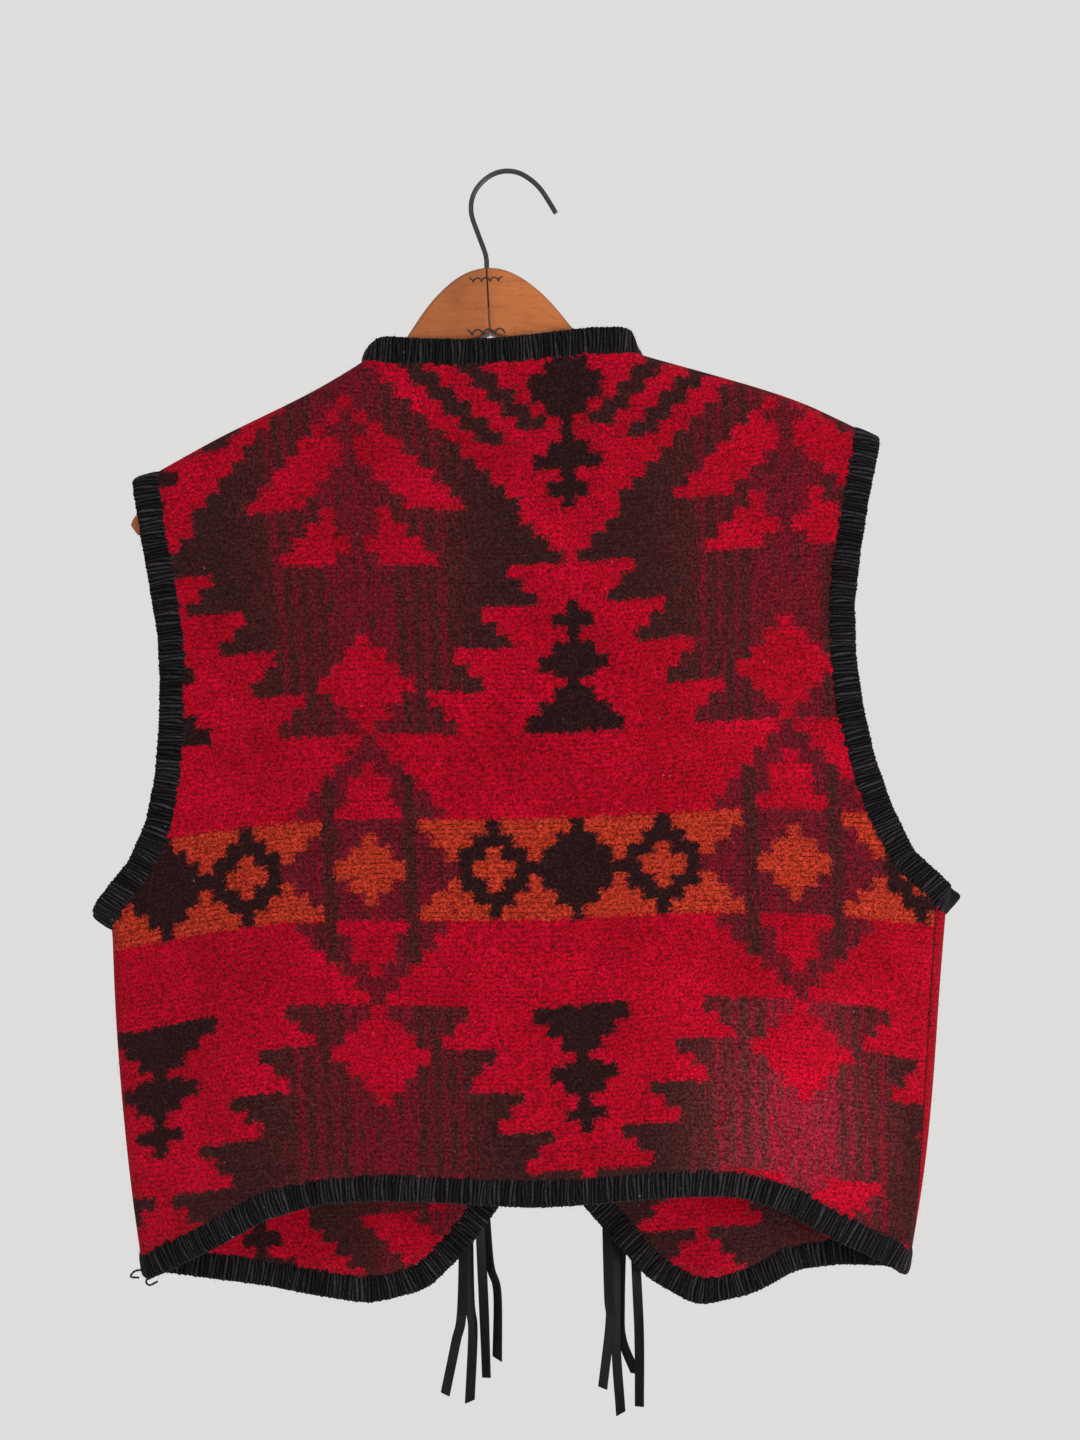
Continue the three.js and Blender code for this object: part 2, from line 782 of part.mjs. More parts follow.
// The point of a panel's net that lies nearest to x and z
function nearestOn(panel, x, z) {
  const away = ({ point }) => Math.hypot(point.x - x, point.z - z);
  return panel.points
    .flatMap((column, i) => column.map((point, j) => ({ point, face: panel.directions[i][j] })))
    .reduce((best, here) => (away(here) < away(best) ? here : best));
}

// A bundle of thongs that comes out of one knot on the outer face of a front
function tieOf(side) {
  const tie = ties[side];
  const seat = nearestOn(front[side], tie.x, tie.z);
  const lift = clothThickness / 2 + seamGap + knot.depth / 2;
  const middle = seat.point.clone().addScaledVector(seat.face, lift);
  const head = new THREE.SphereGeometry(0.5, 10, 6);
  head.scale(knot.width, knot.depth, knot.height);
  head.translate(middle.x, middle.y, middle.z);
  const joinedUp = tie.thongs.reduce(
    (solid, thong) => solid.add(thongOf(middle, thong)),
    solidFrom(head),
  );
  return geometryFrom(joinedUp);
}

// Both halves of the hanger are sawn from one outline
function woodOf() {
  const half = [...woodTop, ...woodBottom];
  const outline = [
    ...half.map((row) => new THREE.Vector2(row.d, row.z)),
    ...half.slice(1, -1).reverse().map((row) => new THREE.Vector2(-row.d, row.z)),
  ];
  const geometry = new THREE.ExtrudeGeometry(new THREE.Shape(outline), {
    depth: woodThickness - 2 * woodRounding,
    bevelThickness: woodRounding,
    bevelSize: woodRounding,
    bevelOffset: -woodRounding,
    bevelSegments: 3,
  });
  geometry.translate(0, 0, woodRounding - woodThickness / 2);
  geometry.rotateX(Math.PI / 2);
  const bore = new THREE.CylinderGeometry(
    wireDiameter / 2 + wireFit,
    wireDiameter / 2 + wireFit,
    2 * (wireInWood + wireFit),
    16,
  );
  bore.rotateX(Math.PI / 2);
  return solidFrom(geometry).subtract(solidFrom(bore));
}

function armOf(wood, sign) {
  const block = new THREE.BoxGeometry(halfReach, halfReach, 2 * halfReach);
  block.translate(sign * (halfReach / 2 + jointGap / 2), 0, 0);
  return geometryFrom(wood.intersect(solidFrom(block)));
}

// The wire's ring sections all stand in the hanger's plane
function hookOf() {
  const bent = hookLine.map((row) => new THREE.Vector3(row.x, 0, row.z));
  const line = new THREE.CatmullRomCurve3([new THREE.Vector3(0, 0, -wireInWood), ...bent]);
  const rings = countTo(wireSteps).map((k) => {
    const u = k / wireSteps;
    const point = line.getPointAt(u);
    const aside = new THREE.Vector3().crossVectors(line.getTangentAt(u), alongY).normalize();
    return countTo(wireSides - 1).map((s) => {
      const angle = (2 * Math.PI * s) / wireSides;
      return point
        .clone()
        .addScaledVector(aside, (Math.cos(angle) * wireDiameter) / 2)
        .addScaledVector(alongY, (Math.sin(angle) * wireDiameter) / 2);
    });
  });
  return solidOfRings(rings, false);
}

const vest = new THREE.Group();
function place(group, name, geometry, material) {
  const mesh = new THREE.Mesh(geometry, material);
  mesh.name = name;
  group.add(mesh);
}

const bindings = {
  armhole_binding_left: armholeBinding("left"),
  armhole_binding_right: armholeBinding("right"),
  back_neck_binding: neckBinding(),
  back_hem_binding: hemBinding(),
  front_binding_left: frontBinding("left"),
  front_binding_right: frontBinding("right"),
};
place(vest, "back_panel", wallOf(back), finish.wool);
place(vest, "front_left_panel", wallOf(front.left), finish.wool);
place(vest, "front_right_panel", wallOf(front.right), finish.wool);
for (const [name, geometry] of Object.entries(bindings)) place(vest, name, geometry, finish.yarn);
place(vest, "tie_left", tieOf("left"), finish.leather);
place(vest, "tie_right", tieOf("right"), finish.leather);

// The hanger's own frame starts at the top of the wood, and the hook's crown comes to the origin
const hanger = new THREE.Group();
const crown = new THREE.Vector3(hookCrown.x, 0, hookCrown.z);
hanger.rotation.y = -hangerTilt;
hanger.position.copy(crown).applyAxisAngle(alongY, -hangerTilt).negate();
const wood = woodOf();
place(hanger, "hanger_arm_left", armOf(wood, -1), finish.wood);
place(hanger, "hanger_arm_right", armOf(wood, 1), finish.wood);
place(hanger, "hanger_hook", hookOf(), finish.wire);
vest.add(hanger);

export default vest;
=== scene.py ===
import math

import bmesh
import bpy
import numpy as np
from mathutils import Matrix, Vector


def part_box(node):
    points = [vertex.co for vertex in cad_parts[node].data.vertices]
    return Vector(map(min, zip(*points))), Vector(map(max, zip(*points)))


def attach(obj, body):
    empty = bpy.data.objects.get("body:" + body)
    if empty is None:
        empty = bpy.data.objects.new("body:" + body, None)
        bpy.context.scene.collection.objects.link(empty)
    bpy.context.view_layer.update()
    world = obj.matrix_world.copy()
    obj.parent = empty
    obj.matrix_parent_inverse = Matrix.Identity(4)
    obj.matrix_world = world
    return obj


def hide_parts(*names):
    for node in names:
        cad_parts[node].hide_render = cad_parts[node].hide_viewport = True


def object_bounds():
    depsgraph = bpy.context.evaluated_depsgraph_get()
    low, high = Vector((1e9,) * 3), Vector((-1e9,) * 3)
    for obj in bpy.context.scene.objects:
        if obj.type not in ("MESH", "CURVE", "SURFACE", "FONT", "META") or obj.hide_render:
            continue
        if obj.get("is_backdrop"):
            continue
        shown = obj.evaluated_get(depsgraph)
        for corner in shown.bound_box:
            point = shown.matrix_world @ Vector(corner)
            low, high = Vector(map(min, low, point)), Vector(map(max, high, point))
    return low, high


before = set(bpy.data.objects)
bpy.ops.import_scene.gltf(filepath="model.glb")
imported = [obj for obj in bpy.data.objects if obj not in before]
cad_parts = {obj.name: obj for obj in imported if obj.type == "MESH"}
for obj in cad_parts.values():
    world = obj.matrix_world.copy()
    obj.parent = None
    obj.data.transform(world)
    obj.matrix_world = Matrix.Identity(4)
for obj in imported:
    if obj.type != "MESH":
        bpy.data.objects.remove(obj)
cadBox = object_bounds()
rng = np.random.default_rng(11)

mm = 0.001


def deselectAll():
    for other in bpy.context.selected_objects:
        other.select_set(False)


def pick(obj):
    deselectAll()
    obj.select_set(True)
    bpy.context.view_layer.objects.active = obj


def editAll():
    bpy.ops.object.mode_set(mode="EDIT")
    bpy.ops.mesh.select_all(action="SELECT")


def newPiece(name, mesh):
    obj = bpy.data.objects.new(name, mesh)
    bpy.context.scene.collection.objects.link(obj)
    return obj


def copyOfNode(node, name):
    obj = newPiece(name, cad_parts[node].data.copy())
    obj.data.materials.clear()
    pick(obj)
    editAll()
    bpy.ops.mesh.remove_doubles(threshold=0.000005)
    turn = math.radians(60)
    bpy.ops.mesh.tris_convert_to_quads(face_threshold=turn, shape_threshold=turn)
    bpy.ops.object.mode_set(mode="OBJECT")
    return obj


def creaseSharp(obj, degrees):
    work = bmesh.new()
    work.from_mesh(obj.data)
    layer = work.edges.layers.float.get("crease_edge") or work.edges.layers.float.new("crease_edge")
    for edge in work.edges:
        if len(edge.link_faces) == 2 and edge.calc_face_angle() > math.radians(degrees):
            edge[layer] = 1.0
    work.to_mesh(obj.data)
    work.free()


def subdivide(obj, levels):
    pick(obj)
    modifier = obj.modifiers.new("smooth", "SUBSURF")
    modifier.levels = levels
    bpy.ops.object.modifier_apply(modifier=modifier.name)


def coordinatesOf(obj):
    flat = np.zeros(len(obj.data.vertices) * 3)
    obj.data.vertices.foreach_get("co", flat)
    return flat.reshape(-1, 3)


# the four-sided faces between each ring of corners and the next
def skin(work, rings):
    for one, two in zip(rings, rings[1:]):
        for k in range(len(one)):
            m = (k + 1) % len(one)
            work.faces.new((one[k], one[m], two[m], two[k]))


def pieceFrom(work, name):
    bmesh.ops.recalc_face_normals(work, faces=work.faces)
    mesh = bpy.data.meshes.new(name)
    work.to_mesh(mesh)
    work.free()
    return newPiece(name, mesh)


# builds one material's node tree
class Nodes:
    def __init__(self, name):
        self.material = bpy.data.materials.new(name)
        self.material.use_nodes = True
        self.tree = self.material.node_tree
        self.shader = self.tree.nodes["Principled BSDF"]

    def add(self, kind, **settings):
        node = self.tree.nodes.new(kind)
        for key, value in settings.items():
            setattr(node, key, value)
        return node

    def link(self, source, target):
        self.tree.links.new(source, target)

    def feed(self, socket, value):
        if hasattr(value, "is_output"):
            self.link(value, socket)
        else:
            socket.default_value = value

    def sum(self, operation, a, b=0.0, c=0.0):
        node = self.add("ShaderNodeMath", operation=operation)
        for socket, value in zip(node.inputs, (a, b, c)):
            self.feed(socket, value)
        return node.outputs[0]

    def mix(self, share, low, high, blend="MIX"):
        node = self.add("ShaderNodeMix", data_type="RGBA", blend_type=blend)
        self.feed(node.inputs[0], share)
        for socket, value in ((node.inputs[6], low), (node.inputs[7], high)):
            self.feed(socket, value if hasattr(value, "is_output") else (*value, 1.0))
        return node.outputs[2]

    def tinted(self, colour, tint):
        return self.mix(1.0, colour, tint, "MULTIPLY")

    def place(self, stretch=(1, 1, 1)):
        coordinates = self.add("ShaderNodeTexCoord")
        mapping = self.add("ShaderNodeMapping")
        mapping.inputs["Scale"].default_value = stretch
        self.link(coordinates.outputs["Object"], mapping.inputs["Vector"])
        return mapping.outputs["Vector"]

    def noise(self, scale, detail=2.0, rough=0.5, stretch=(1, 1, 1), colour=False, vector=None):
        node = self.add("ShaderNodeTexNoise")
        self.link(vector or self.place(stretch), node.inputs["Vector"])
        node.inputs["Scale"].default_value = scale
        node.inputs["Detail"].default_value = detail
        node.inputs["Roughness"].default_value = rough
        return node.outputs["Color" if colour else "Fac"]

    def ramp(self, value, stops, interpolation="LINEAR"):
        node = self.add("ShaderNodeValToRGB")
        node.color_ramp.interpolation = interpolation
        elements = node.color_ramp.elements
        while len(elements) < len(stops):
            elements.new(1.0)
        for element, (position, colour) in zip(elements, stops):
            element.position = position
        for element, (position, colour) in zip(elements, stops):
            grey = isinstance(colour, (int, float))
            element.color = (colour, colour, colour, 1) if grey else (*colour, 1)
        self.feed(node.inputs[0], value)
        return node.outputs[0]

    def span(self, value, low, high):
        node = self.add("ShaderNodeMapRange")
        for socket, given in zip(node.inputs, (value, low, high)):
            self.feed(socket, given)
        return node.outputs[0]

    def bump(self, height, distance, strength=1.0):
        node = self.add("ShaderNodeBump")
        node.inputs["Distance"].default_value = distance
        node.inputs["Strength"].default_value = strength
        self.feed(node.inputs["Height"], height)
        self.link(node.outputs[0], self.shader.inputs["Normal"])

    def set(self, **sockets):
        for name, value in sockets.items():
            self.feed(self.shader.inputs[name.replace("_", " ")], value)


# a colour as seen, 0 to 255, as the renderer's own
def linear(r, g, b):
    shares = [c / 255 for c in (r, g, b)]
    return tuple(c / 12.92 if c <= 0.04045 else ((c + 0.055) / 1.055) ** 2.4 for c in shares)


# cell is one step of the chart in millimetres, folds are the radii of the cloth's turned sides
cloth = {"levels": 2, "rimAngle": 50, "smoothAngle": 55, "cell": 8.75, "stitch": 1.7, "floatRow": 3.0,
         "fold": 12.5, "shoulderFold": 9.8}

# The jacquard's chart: where each half width starts and how many cells it has, row by row, counted
# out from the middle of the orange band. The pattern is the same above and below the band and
# repeats every 30 cells, with a totem at 0 and a medallion at 15.
chart = {
    "terraces": [
        (0, 0), (9.5, 6.5), (10.5, 5.5), (11.5, 4.5), (12.5, 8.5), (13.5, 7.5), (14.5, 6.5),
        (15.5, 10.5), (16.5, 9.5), (17.5, 8.5), (18.5, 12.5), (19.5, 11.5), (20.5, 10.5),
        (21.5, 14.5), (22.5, 13.5), (23.5, 12.5), (24.5, 11.5), (26.5, 10.5), (27.5, 9.5),
        (28.5, 8.5), (29.5, 7.5), (30.5, 6.5), (31.5, 5.5), (32.5, 4.5), (33.5, 3.5),
        (34.5, 2.5), (35.5, 1.5), (36.5, 0.5), (37.5, 0)],
    "redOuter": [
        (0, 0), (9.5, 0.5), (10.5, 1.5), (11.5, 2.5), (12.5, 3.5), (13.5, 2.5), (14.5, 1.5),
        (15.5, 0.5), (16.5, 0), (21.5, 5.5), (22.5, 4.5), (23.5, 3.5), (24.5, 2.5),
        (25.5, 7.5), (26.5, 6.5), (27.5, 5.5), (28.5, 4.5), (29.5, 3.5), (30.5, 2.5),
        (31.5, 1.5), (32.5, 0.5), (33.5, 0)],
    "redInner": [
        (0, 0), (21.5, 1.5), (22.5, 0.5), (23.5, 1.5), (25.5, 3.5), (26.5, 2.5), (27.5, 1.5),
        (28.5, 0.5), (30.5, 1.5), (31.5, 0.5), (32.5, 0)],
    "totem": [
        (0, 2.5), (1.5, 1.5), (2.5, 0.5), (3.5, 0), (9.5, 3.5), (10.7, 2.5), (11.7, 1.5),
        (12.8, 0.5), (13.3, 1.5), (13.8, 2.5), (14.9, 1.5), (15.9, 0.5), (16.9, 1.5),
        (17.9, 0.5), (18.8, 0), (25.4, 0.5), (26.4, 1.5), (27.4, 0.5), (28.4, 2.5),
        (29.4, 1.5), (30.4, 0.5), (32.3, 1.5), (33.4, 2.5), (35.4, 1.5), (36.4, 0.5), (38, 0)],
    "medallion": [
        (0, 6.5), (0.5, 5.5), (1.5, 4.5), (2.5, 3.5), (3.5, 5.5), (4.5, 4.5), (5.5, 3.5),
        (6.5, 2.5), (7.5, 1.5), (8.5, 0.5), (9.5, 0)],
    "house": [(0, 0), (3.5, 2.5), (4.5, 1.5), (6.5, 0.5), (7.5, 0)],
    "gem": [(0, 2.5), (0.5, 1.5), (1.5, 0.5), (2.5, 0)],
    "cross": [(0, 2.5), (1.5, 1.5), (2.5, 0.5), (3.5, 0)],
    "heart": [(0, 1.5), (0.5, 0.5), (1.5, 0)],
}
yarn = {
    "red": linear(194, 3, 36),
    "deepRed": linear(164, 2, 25),
    "maroon": linear(122, 12, 32),
    "brown": linear(64, 27, 26),
    "umber": linear(54, 25, 24),
    "soot": linear(24, 12, 14),
    "orange": linear(192, 50, 31),
}
rowLimit, widthLimit, halfRepeat = 40.0, 16.0, 15.0
felting = {"fine": (1.7, 1.3), "coarse": (0.9, 0.7)}  # how far the steps stray across and up, in cells


def woolMaterial(name):
    n = Nodes(name)
    chartMap = n.add("ShaderNodeUVMap", uv_map="chart")
    parts = n.add("ShaderNodeSeparateXYZ")
    n.link(chartMap.outputs[0], parts.inputs[0])
    # fuzzy steps: the felted yarn wanders by a part of a cell
    wander = n.add("ShaderNodeSeparateColor")
    n.link(n.noise(820, detail=3, rough=0.85, colour=True), wander.inputs[0])
    drift = n.add("ShaderNodeSeparateColor")
    n.link(n.noise(240, detail=1, colour=True), drift.inputs[0])

    def aboutZero(noise, amount):
        return n.sum("MULTIPLY_ADD", noise, amount, -amount / 2)

    def strayed(value, axis):
        value = n.sum("ADD", value, aboutZero(wander.outputs[axis], felting["fine"][axis]))
        return n.sum("ADD", value, aboutZero(drift.outputs[axis], felting["coarse"][axis]))

    # a is the way to the nearest totem, b to the nearest medallion and r to the orange band's middle
    a = n.sum("PINGPONG", strayed(parts.outputs[0], 0), halfRepeat)
    b = n.sum("SUBTRACT", halfRepeat, a)
    r = n.sum("ABSOLUTE", strayed(parts.outputs[1], 1))
    share = n.sum("DIVIDE", r, rowLimit)

    def halfWidth(figure):
        stops = [(start / rowLimit, width / widthLimit) for start, width in chart[figure]]
        return n.sum("MULTIPLY", n.ramp(share, stops, "CONSTANT"), widthLimit)

    def both(*tests):
        result = tests[0]
        for test in tests[1:]:
            result = n.sum("MULTIPLY", result, test)
        return result

    # lines of the knit that run with the chart, a pitch in millimetres apart
    def waves(axis, pitch):
        cells = 2 * math.pi * cloth["cell"] / pitch
        return n.sum("SINE", n.sum("MULTIPLY", parts.outputs[axis], cells))

    def less(p, q):
        return n.sum("LESS_THAN", p, q)

    def more(p, q):
        return n.sum("GREATER_THAN", p, q)

    def between(p, low, high):
        return both(more(p, low), less(p, high))

    def without(test):
        return n.sum("SUBTRACT", 1.0, test)

    terrace = halfWidth("terraces")
    inTerrace = less(b, terrace)
    redInside = both(less(b, halfWidth("redOuter")), more(b, halfWidth("redInner")))
    beyond = n.sum("SUBTRACT", b, terrace)
    stem = both(between(a, 2.5, 3.5), between(r, 33.4, 35.4))
    bar = both(between(a, 1.5, 4.5), more(r, 35.4))
    clearOfStem = without(n.sum("MAXIMUM", stem, bar))
    stripeNear = both(between(beyond, 2.0, 4.0), more(r, 30.5))
    stripeFar = both(between(beyond, 6.0, 8.0), more(r, 31.5), clearOfStem)
    inTotem = less(a, halfWidth("totem"))
    inBand = less(r, 3.5)
    fromCross = n.sum("ABSOLUTE", n.sum("SUBTRACT", a, 6.0))
    inCross = both(inBand, less(fromCross, halfWidth("cross")))
    inHeart = both(inBand, less(fromCross, halfWidth("heart")))
    inRod = both(less(r, 0.5), less(a, 9.5))
    inMedallion = less(b, halfWidth("medallion"))
    inRing = both(inMedallion, between(b, 2.4, 3.4))
    inHouse = less(b, halfWidth("house"))
    inGem = less(b, halfWidth("gem"))

    # streaks up and down in the dark yarns, speckle everywhere
    streak = n.noise(1, detail=3, rough=0.7, stretch=(900, 900, 60))
    speckle = n.noise(1500, detail=2, rough=0.8)
    patch = n.noise(26, detail=3)
    red = n.mix(n.span(patch, 0.3, 0.7), yarn["deepRed"], yarn["red"])
    maroonStreaks = n.mix(n.span(streak, 0.45, 0.62), yarn["maroon"], yarn["brown"])
    stripes = [(0, 0.0), (2.5, 1.0), (3.1, 0.25), (3.6, 1.0), (4.3, 0.1), (4.7, 1.0), (5.5, 0.0),
               (5.95, 1.0), (16, 1.0)]
    stripeStops = [(at / widthLimit, value) for at, value in stripes]
    brownShare = n.ramp(n.sum("DIVIDE", b, widthLimit), stripeStops, "CONSTANT")
    brownHere = n.mix(n.span(streak, 0.52, 0.68), yarn["brown"], yarn["maroon"])
    terraceDark = n.mix(brownShare, maroonStreaks, brownHere)
    umberHere = n.mix(n.span(streak, 0.6, 0.75), yarn["umber"], yarn["brown"])
    terraceDark = n.mix(n.span(b, 5.9, 9.5), terraceDark, umberHere)
    colour = n.mix(inTerrace, red, terraceDark)
    colour = n.mix(redInside, colour, red)
    colour = n.mix(n.sum("MAXIMUM", stripeNear, stripeFar), colour, yarn["umber"])
    figure = n.mix(n.span(n.noise(700, detail=3, rough=0.9), 0.42, 0.62), yarn["soot"], yarn["umber"])
    colour = n.mix(inTotem, colour, figure)
    band = n.mix(n.span(speckle, 0.35, 0.75), yarn["orange"], linear(168, 44, 26))
    colour = n.mix(both(inBand, without(inTotem)), colour, band)
    colour = n.mix(n.sum("MAXIMUM", inRod, inCross), colour, figure)
    colour = n.mix(inHeart, colour, band)
    colour = n.mix(inMedallion, colour, maroonStreaks)
    colour = n.mix(inRing, colour, brownHere)
    colour = n.mix(inHouse, colour, red)
    colour = n.mix(inGem, colour, band)

    # the narrow plain strip beyond the right side seam, and a painted pool of light near the hem on the
    # lower right
    place = n.add("ShaderNodeSeparateXYZ")
    n.link(n.place(), place.inputs[0])
    seamAt = n.sum("MULTIPLY_ADD", place.outputs[2], 0.061, 0.3015)
    pastSeam = n.sum("SUBTRACT", place.outputs[0], seamAt)
    below = less(place.outputs[2], -0.462)
    colour = n.mix(both(more(pastSeam, 0), below), colour, yarn["deepRed"])
    colour = n.mix(both(less(n.sum("ABSOLUTE", pastSeam), 0.0007), below, 0.7), colour, yarn["soot"])
    # painted light: the cloth is made paler round one place near the hem, most over the dark yarns
    fromPaintedLight = n.add("ShaderNodeVectorMath", operation="DISTANCE")
    n.link(n.place((1, 1, 0.7)), fromPaintedLight.inputs[0])
    fromPaintedLight.inputs[1].default_value = (0.175, -0.02, -0.425)
    paintedLightPool = both(n.span(fromPaintedLight.outputs["Value"], 0.085, 0.02), 0.8)
    dark = both(inTerrace, without(redInside))
    paintedLitColour = n.tinted(colour, (2.7, 2.4, 2.6))
    colour = n.mix(both(paintedLightPool, n.sum("MULTIPLY_ADD", dark, 0.8, 0.2)), colour, paintedLitColour)

    # rows of dark floats under the red, pale hairs over all of it
    dashes = n.noise(1, detail=2, rough=0.8, stretch=(380, 380, 900))
    dash = both(n.span(waves(1, cloth["floatRow"]), 0.3, 0.9), n.span(dashes, 0.47, 0.6))
    dashHere = both(dash, n.sum("MULTIPLY_ADD", inBand, 0.3, 0.7))
    colour = n.mix(dashHere, colour, n.mix(0.85, colour, yarn["soot"]))
    colour = n.mix(n.span(speckle, 0.54, 0.74), colour, n.tinted(colour, (1.7, 2.0, 2.0)))
    colour = n.mix(n.span(speckle, 0.46, 0.26), colour, n.mix(0.55, colour, yarn["soot"]))
    mottle = n.noise(600, detail=3, rough=0.9)
    colour = n.mix(n.span(mottle, 0.5, 0.38), colour, n.mix(0.75, colour, yarn["soot"]))
    colour = n.mix(n.span(mottle, 0.5, 0.62), colour, n.tinted(colour, (1.7, 2.4, 2.4)))
    lint = n.noise(1, detail=1, stretch=(420, 420, 260))
    colour = n.mix(n.span(lint, 0.79, 0.85), colour, n.mix(0.3, colour, (0.8, 0.5, 0.5)))

    knit = both(waves(1, cloth["stitch"]), waves(0, cloth["stitch"]))
    felt = n.noise(1100, detail=4, rough=0.75)
    height = n.sum("ADD", both(knit, 0.22), both(felt, 2.0))
    height = n.sum("SUBTRACT", height, both(dash, 0.6))
    height = n.sum("ADD", height, both(mottle, 2.2))
    n.bump(height, 0.0008, 0.9)
    n.set(Base_Color=colour, Roughness=0.95, Specular_IOR_Level=0.03,
          Sheen_Weight=0.09, Sheen_Roughness=0.45, Sheen_Tint=(1.0, 0.3, 0.34, 1))
    return n.material


def yarnMaterial():
    n = Nodes("blackYarn")
    # on the bindings the shade attribute holds each wrap's own tone and painted shade in the grooves
    # between wraps
    shade = n.add("ShaderNodeAttribute", attribute_name="shade")
    strand = n.noise(1300, detail=3, rough=0.9)
    tone = n.sum("POWER", shade.outputs["Fac"], 2.6)
    colour = n.mix(tone, (0.0008, 0.0007, 0.0008), (0.036, 0.03, 0.035))
    colour = n.mix(n.span(strand, 0.5, 0.66), colour, n.tinted(colour, (2.6, 2.6, 2.6)))
    colour = n.mix(n.span(strand, 0.5, 0.34), colour, n.tinted(colour, (0.3, 0.3, 0.3)))
    dust = n.noise(1, detail=1, stretch=(420, 420, 420))
    colour = n.mix(n.span(dust, 0.78, 0.84), colour, (0.2, 0.18, 0.17))
    n.bump(strand, 0.0005, 0.8)
    n.set(Base_Color=colour, Roughness=0.9, Specular_IOR_Level=0.06,
          Sheen_Weight=0.06, Sheen_Roughness=0.4)
    return n.material


def leatherMaterial():
    n = Nodes("blackLeather")
    grain = n.noise(1400, detail=4, rough=0.6)
    creases = n.noise(1, detail=3, stretch=(260, 260, 60))
    colour = n.mix(n.span(creases, 0.4, 0.7), (0.0012, 0.0016, 0.0018), (0.004, 0.005, 0.0054))
    n.bump(n.sum("ADD", grain, n.sum("MULTIPLY", creases, 0.8)), 0.0002, 0.6)
    n.set(Base_Color=colour, Roughness=n.sum("MULTIPLY_ADD", grain, 0.3, 0.42), Specular_IOR_Level=0.14)
    return n.material


def woodMaterial():
    n = Nodes("varnishedWood")
    wobble = n.noise(9, detail=2, colour=True)
    mixed = n.add("ShaderNodeMix", data_type="VECTOR")
    mixed.inputs[0].default_value = 0.03
    n.link(n.place(), mixed.inputs[4])
    n.link(wobble, mixed.inputs[5])
    stretch = n.add("ShaderNodeMapping")
    stretch.inputs["Scale"].default_value = (26, 60, 420)
    stretch.inputs["Rotation"].default_value = (0, math.radians(-14), 0)
    n.link(mixed.outputs[1], stretch.inputs["Vector"])
    grain = n.noise(1, detail=5, rough=0.62, vector=stretch.outputs[0])
    pores = n.noise(1, detail=2, rough=0.8, stretch=(140, 900, 1900))
    cloudy = n.noise(48, detail=4, rough=0.65)
    colour = n.ramp(grain, [(0.25, linear(146, 78, 34)), (0.5, linear(172, 96, 44)),
                            (0.8, linear(158, 84, 38))])
    colour = n.mix(n.span(pores, 0.58, 0.75), colour, linear(120, 62, 28))
    specks = n.noise(620, detail=2, rough=0.7)
    colour = n.mix(n.span(specks, 0.68, 0.76), colour, linear(196, 128, 66))
    colour = n.mix(n.span(specks, 0.3, 0.24), colour, linear(96, 50, 24))
    colour = n.mix(n.sum("MULTIPLY", n.span(cloudy, 0.45, 0.75), 0.5), colour, linear(134, 68, 30))
    place = n.add("ShaderNodeSeparateXYZ")
    n.link(n.place(), place.inputs[0])
    # dirt in the joint between the halves, and painted shade on the narrow top and bottom faces and
    # rounded edges
    joint = n.sum("ADD", place.outputs[0], n.sum("MULTIPLY_ADD", place.outputs[2], 0.0524, 0.0142))
    colour = n.mix(n.span(n.sum("ABSOLUTE", joint), 0.0009, 0.0004), colour, linear(52, 26, 14))
    geometry = n.add("ShaderNodeNewGeometry")
    normalForPaintedShade = n.add("ShaderNodeSeparateXYZ")
    n.link(geometry.outputs["Normal"], normalForPaintedShade.inputs[0])
    # painted shade: darker wherever the surface turns away from the front, on the narrow faces and rounded
    # edges
    colour = n.mix(n.span(n.sum("ABSOLUTE", normalForPaintedShade.outputs[1]), 0.85, 0.4), colour, linear(112, 58, 28))
    colour = n.mix(n.span(joint, -0.004, 0.004), n.tinted(colour, (0.9, 0.87, 0.82)),
                   n.tinted(colour, (1.14, 1.16, 1.2)))
    n.bump(n.sum("SUBTRACT", grain, pores), 0.0001, 0.4)
    n.set(Base_Color=colour, Roughness=n.sum("MULTIPLY_ADD", cloudy, 0.2, 0.42), Specular_IOR_Level=0.3,
          Coat_Weight=0.12, Coat_Roughness=0.3)
    return n.material


def wireMaterial(name, dark, rusty, metallic):
    n = Nodes(name)
    rust = n.noise(420, detail=4, rough=0.7)
    colour = n.mix(n.span(rust, 0.45, 0.75), dark, rusty)
    n.bump(rust, 0.0001, 0.5)
    n.set(Base_Color=colour, Roughness=n.sum("MULTIPLY_ADD", rust, 0.35, 0.25), Metallic=metallic)
    return n.material


def stageMaterial():
    n = Nodes("paleFloor")
    colour = n.mix(n.noise(3, detail=2), (0.70, 0.70, 0.69), (0.76, 0.76, 0.75))
    n.set(Base_Color=colour, Roughness=0.9)
    return n.material


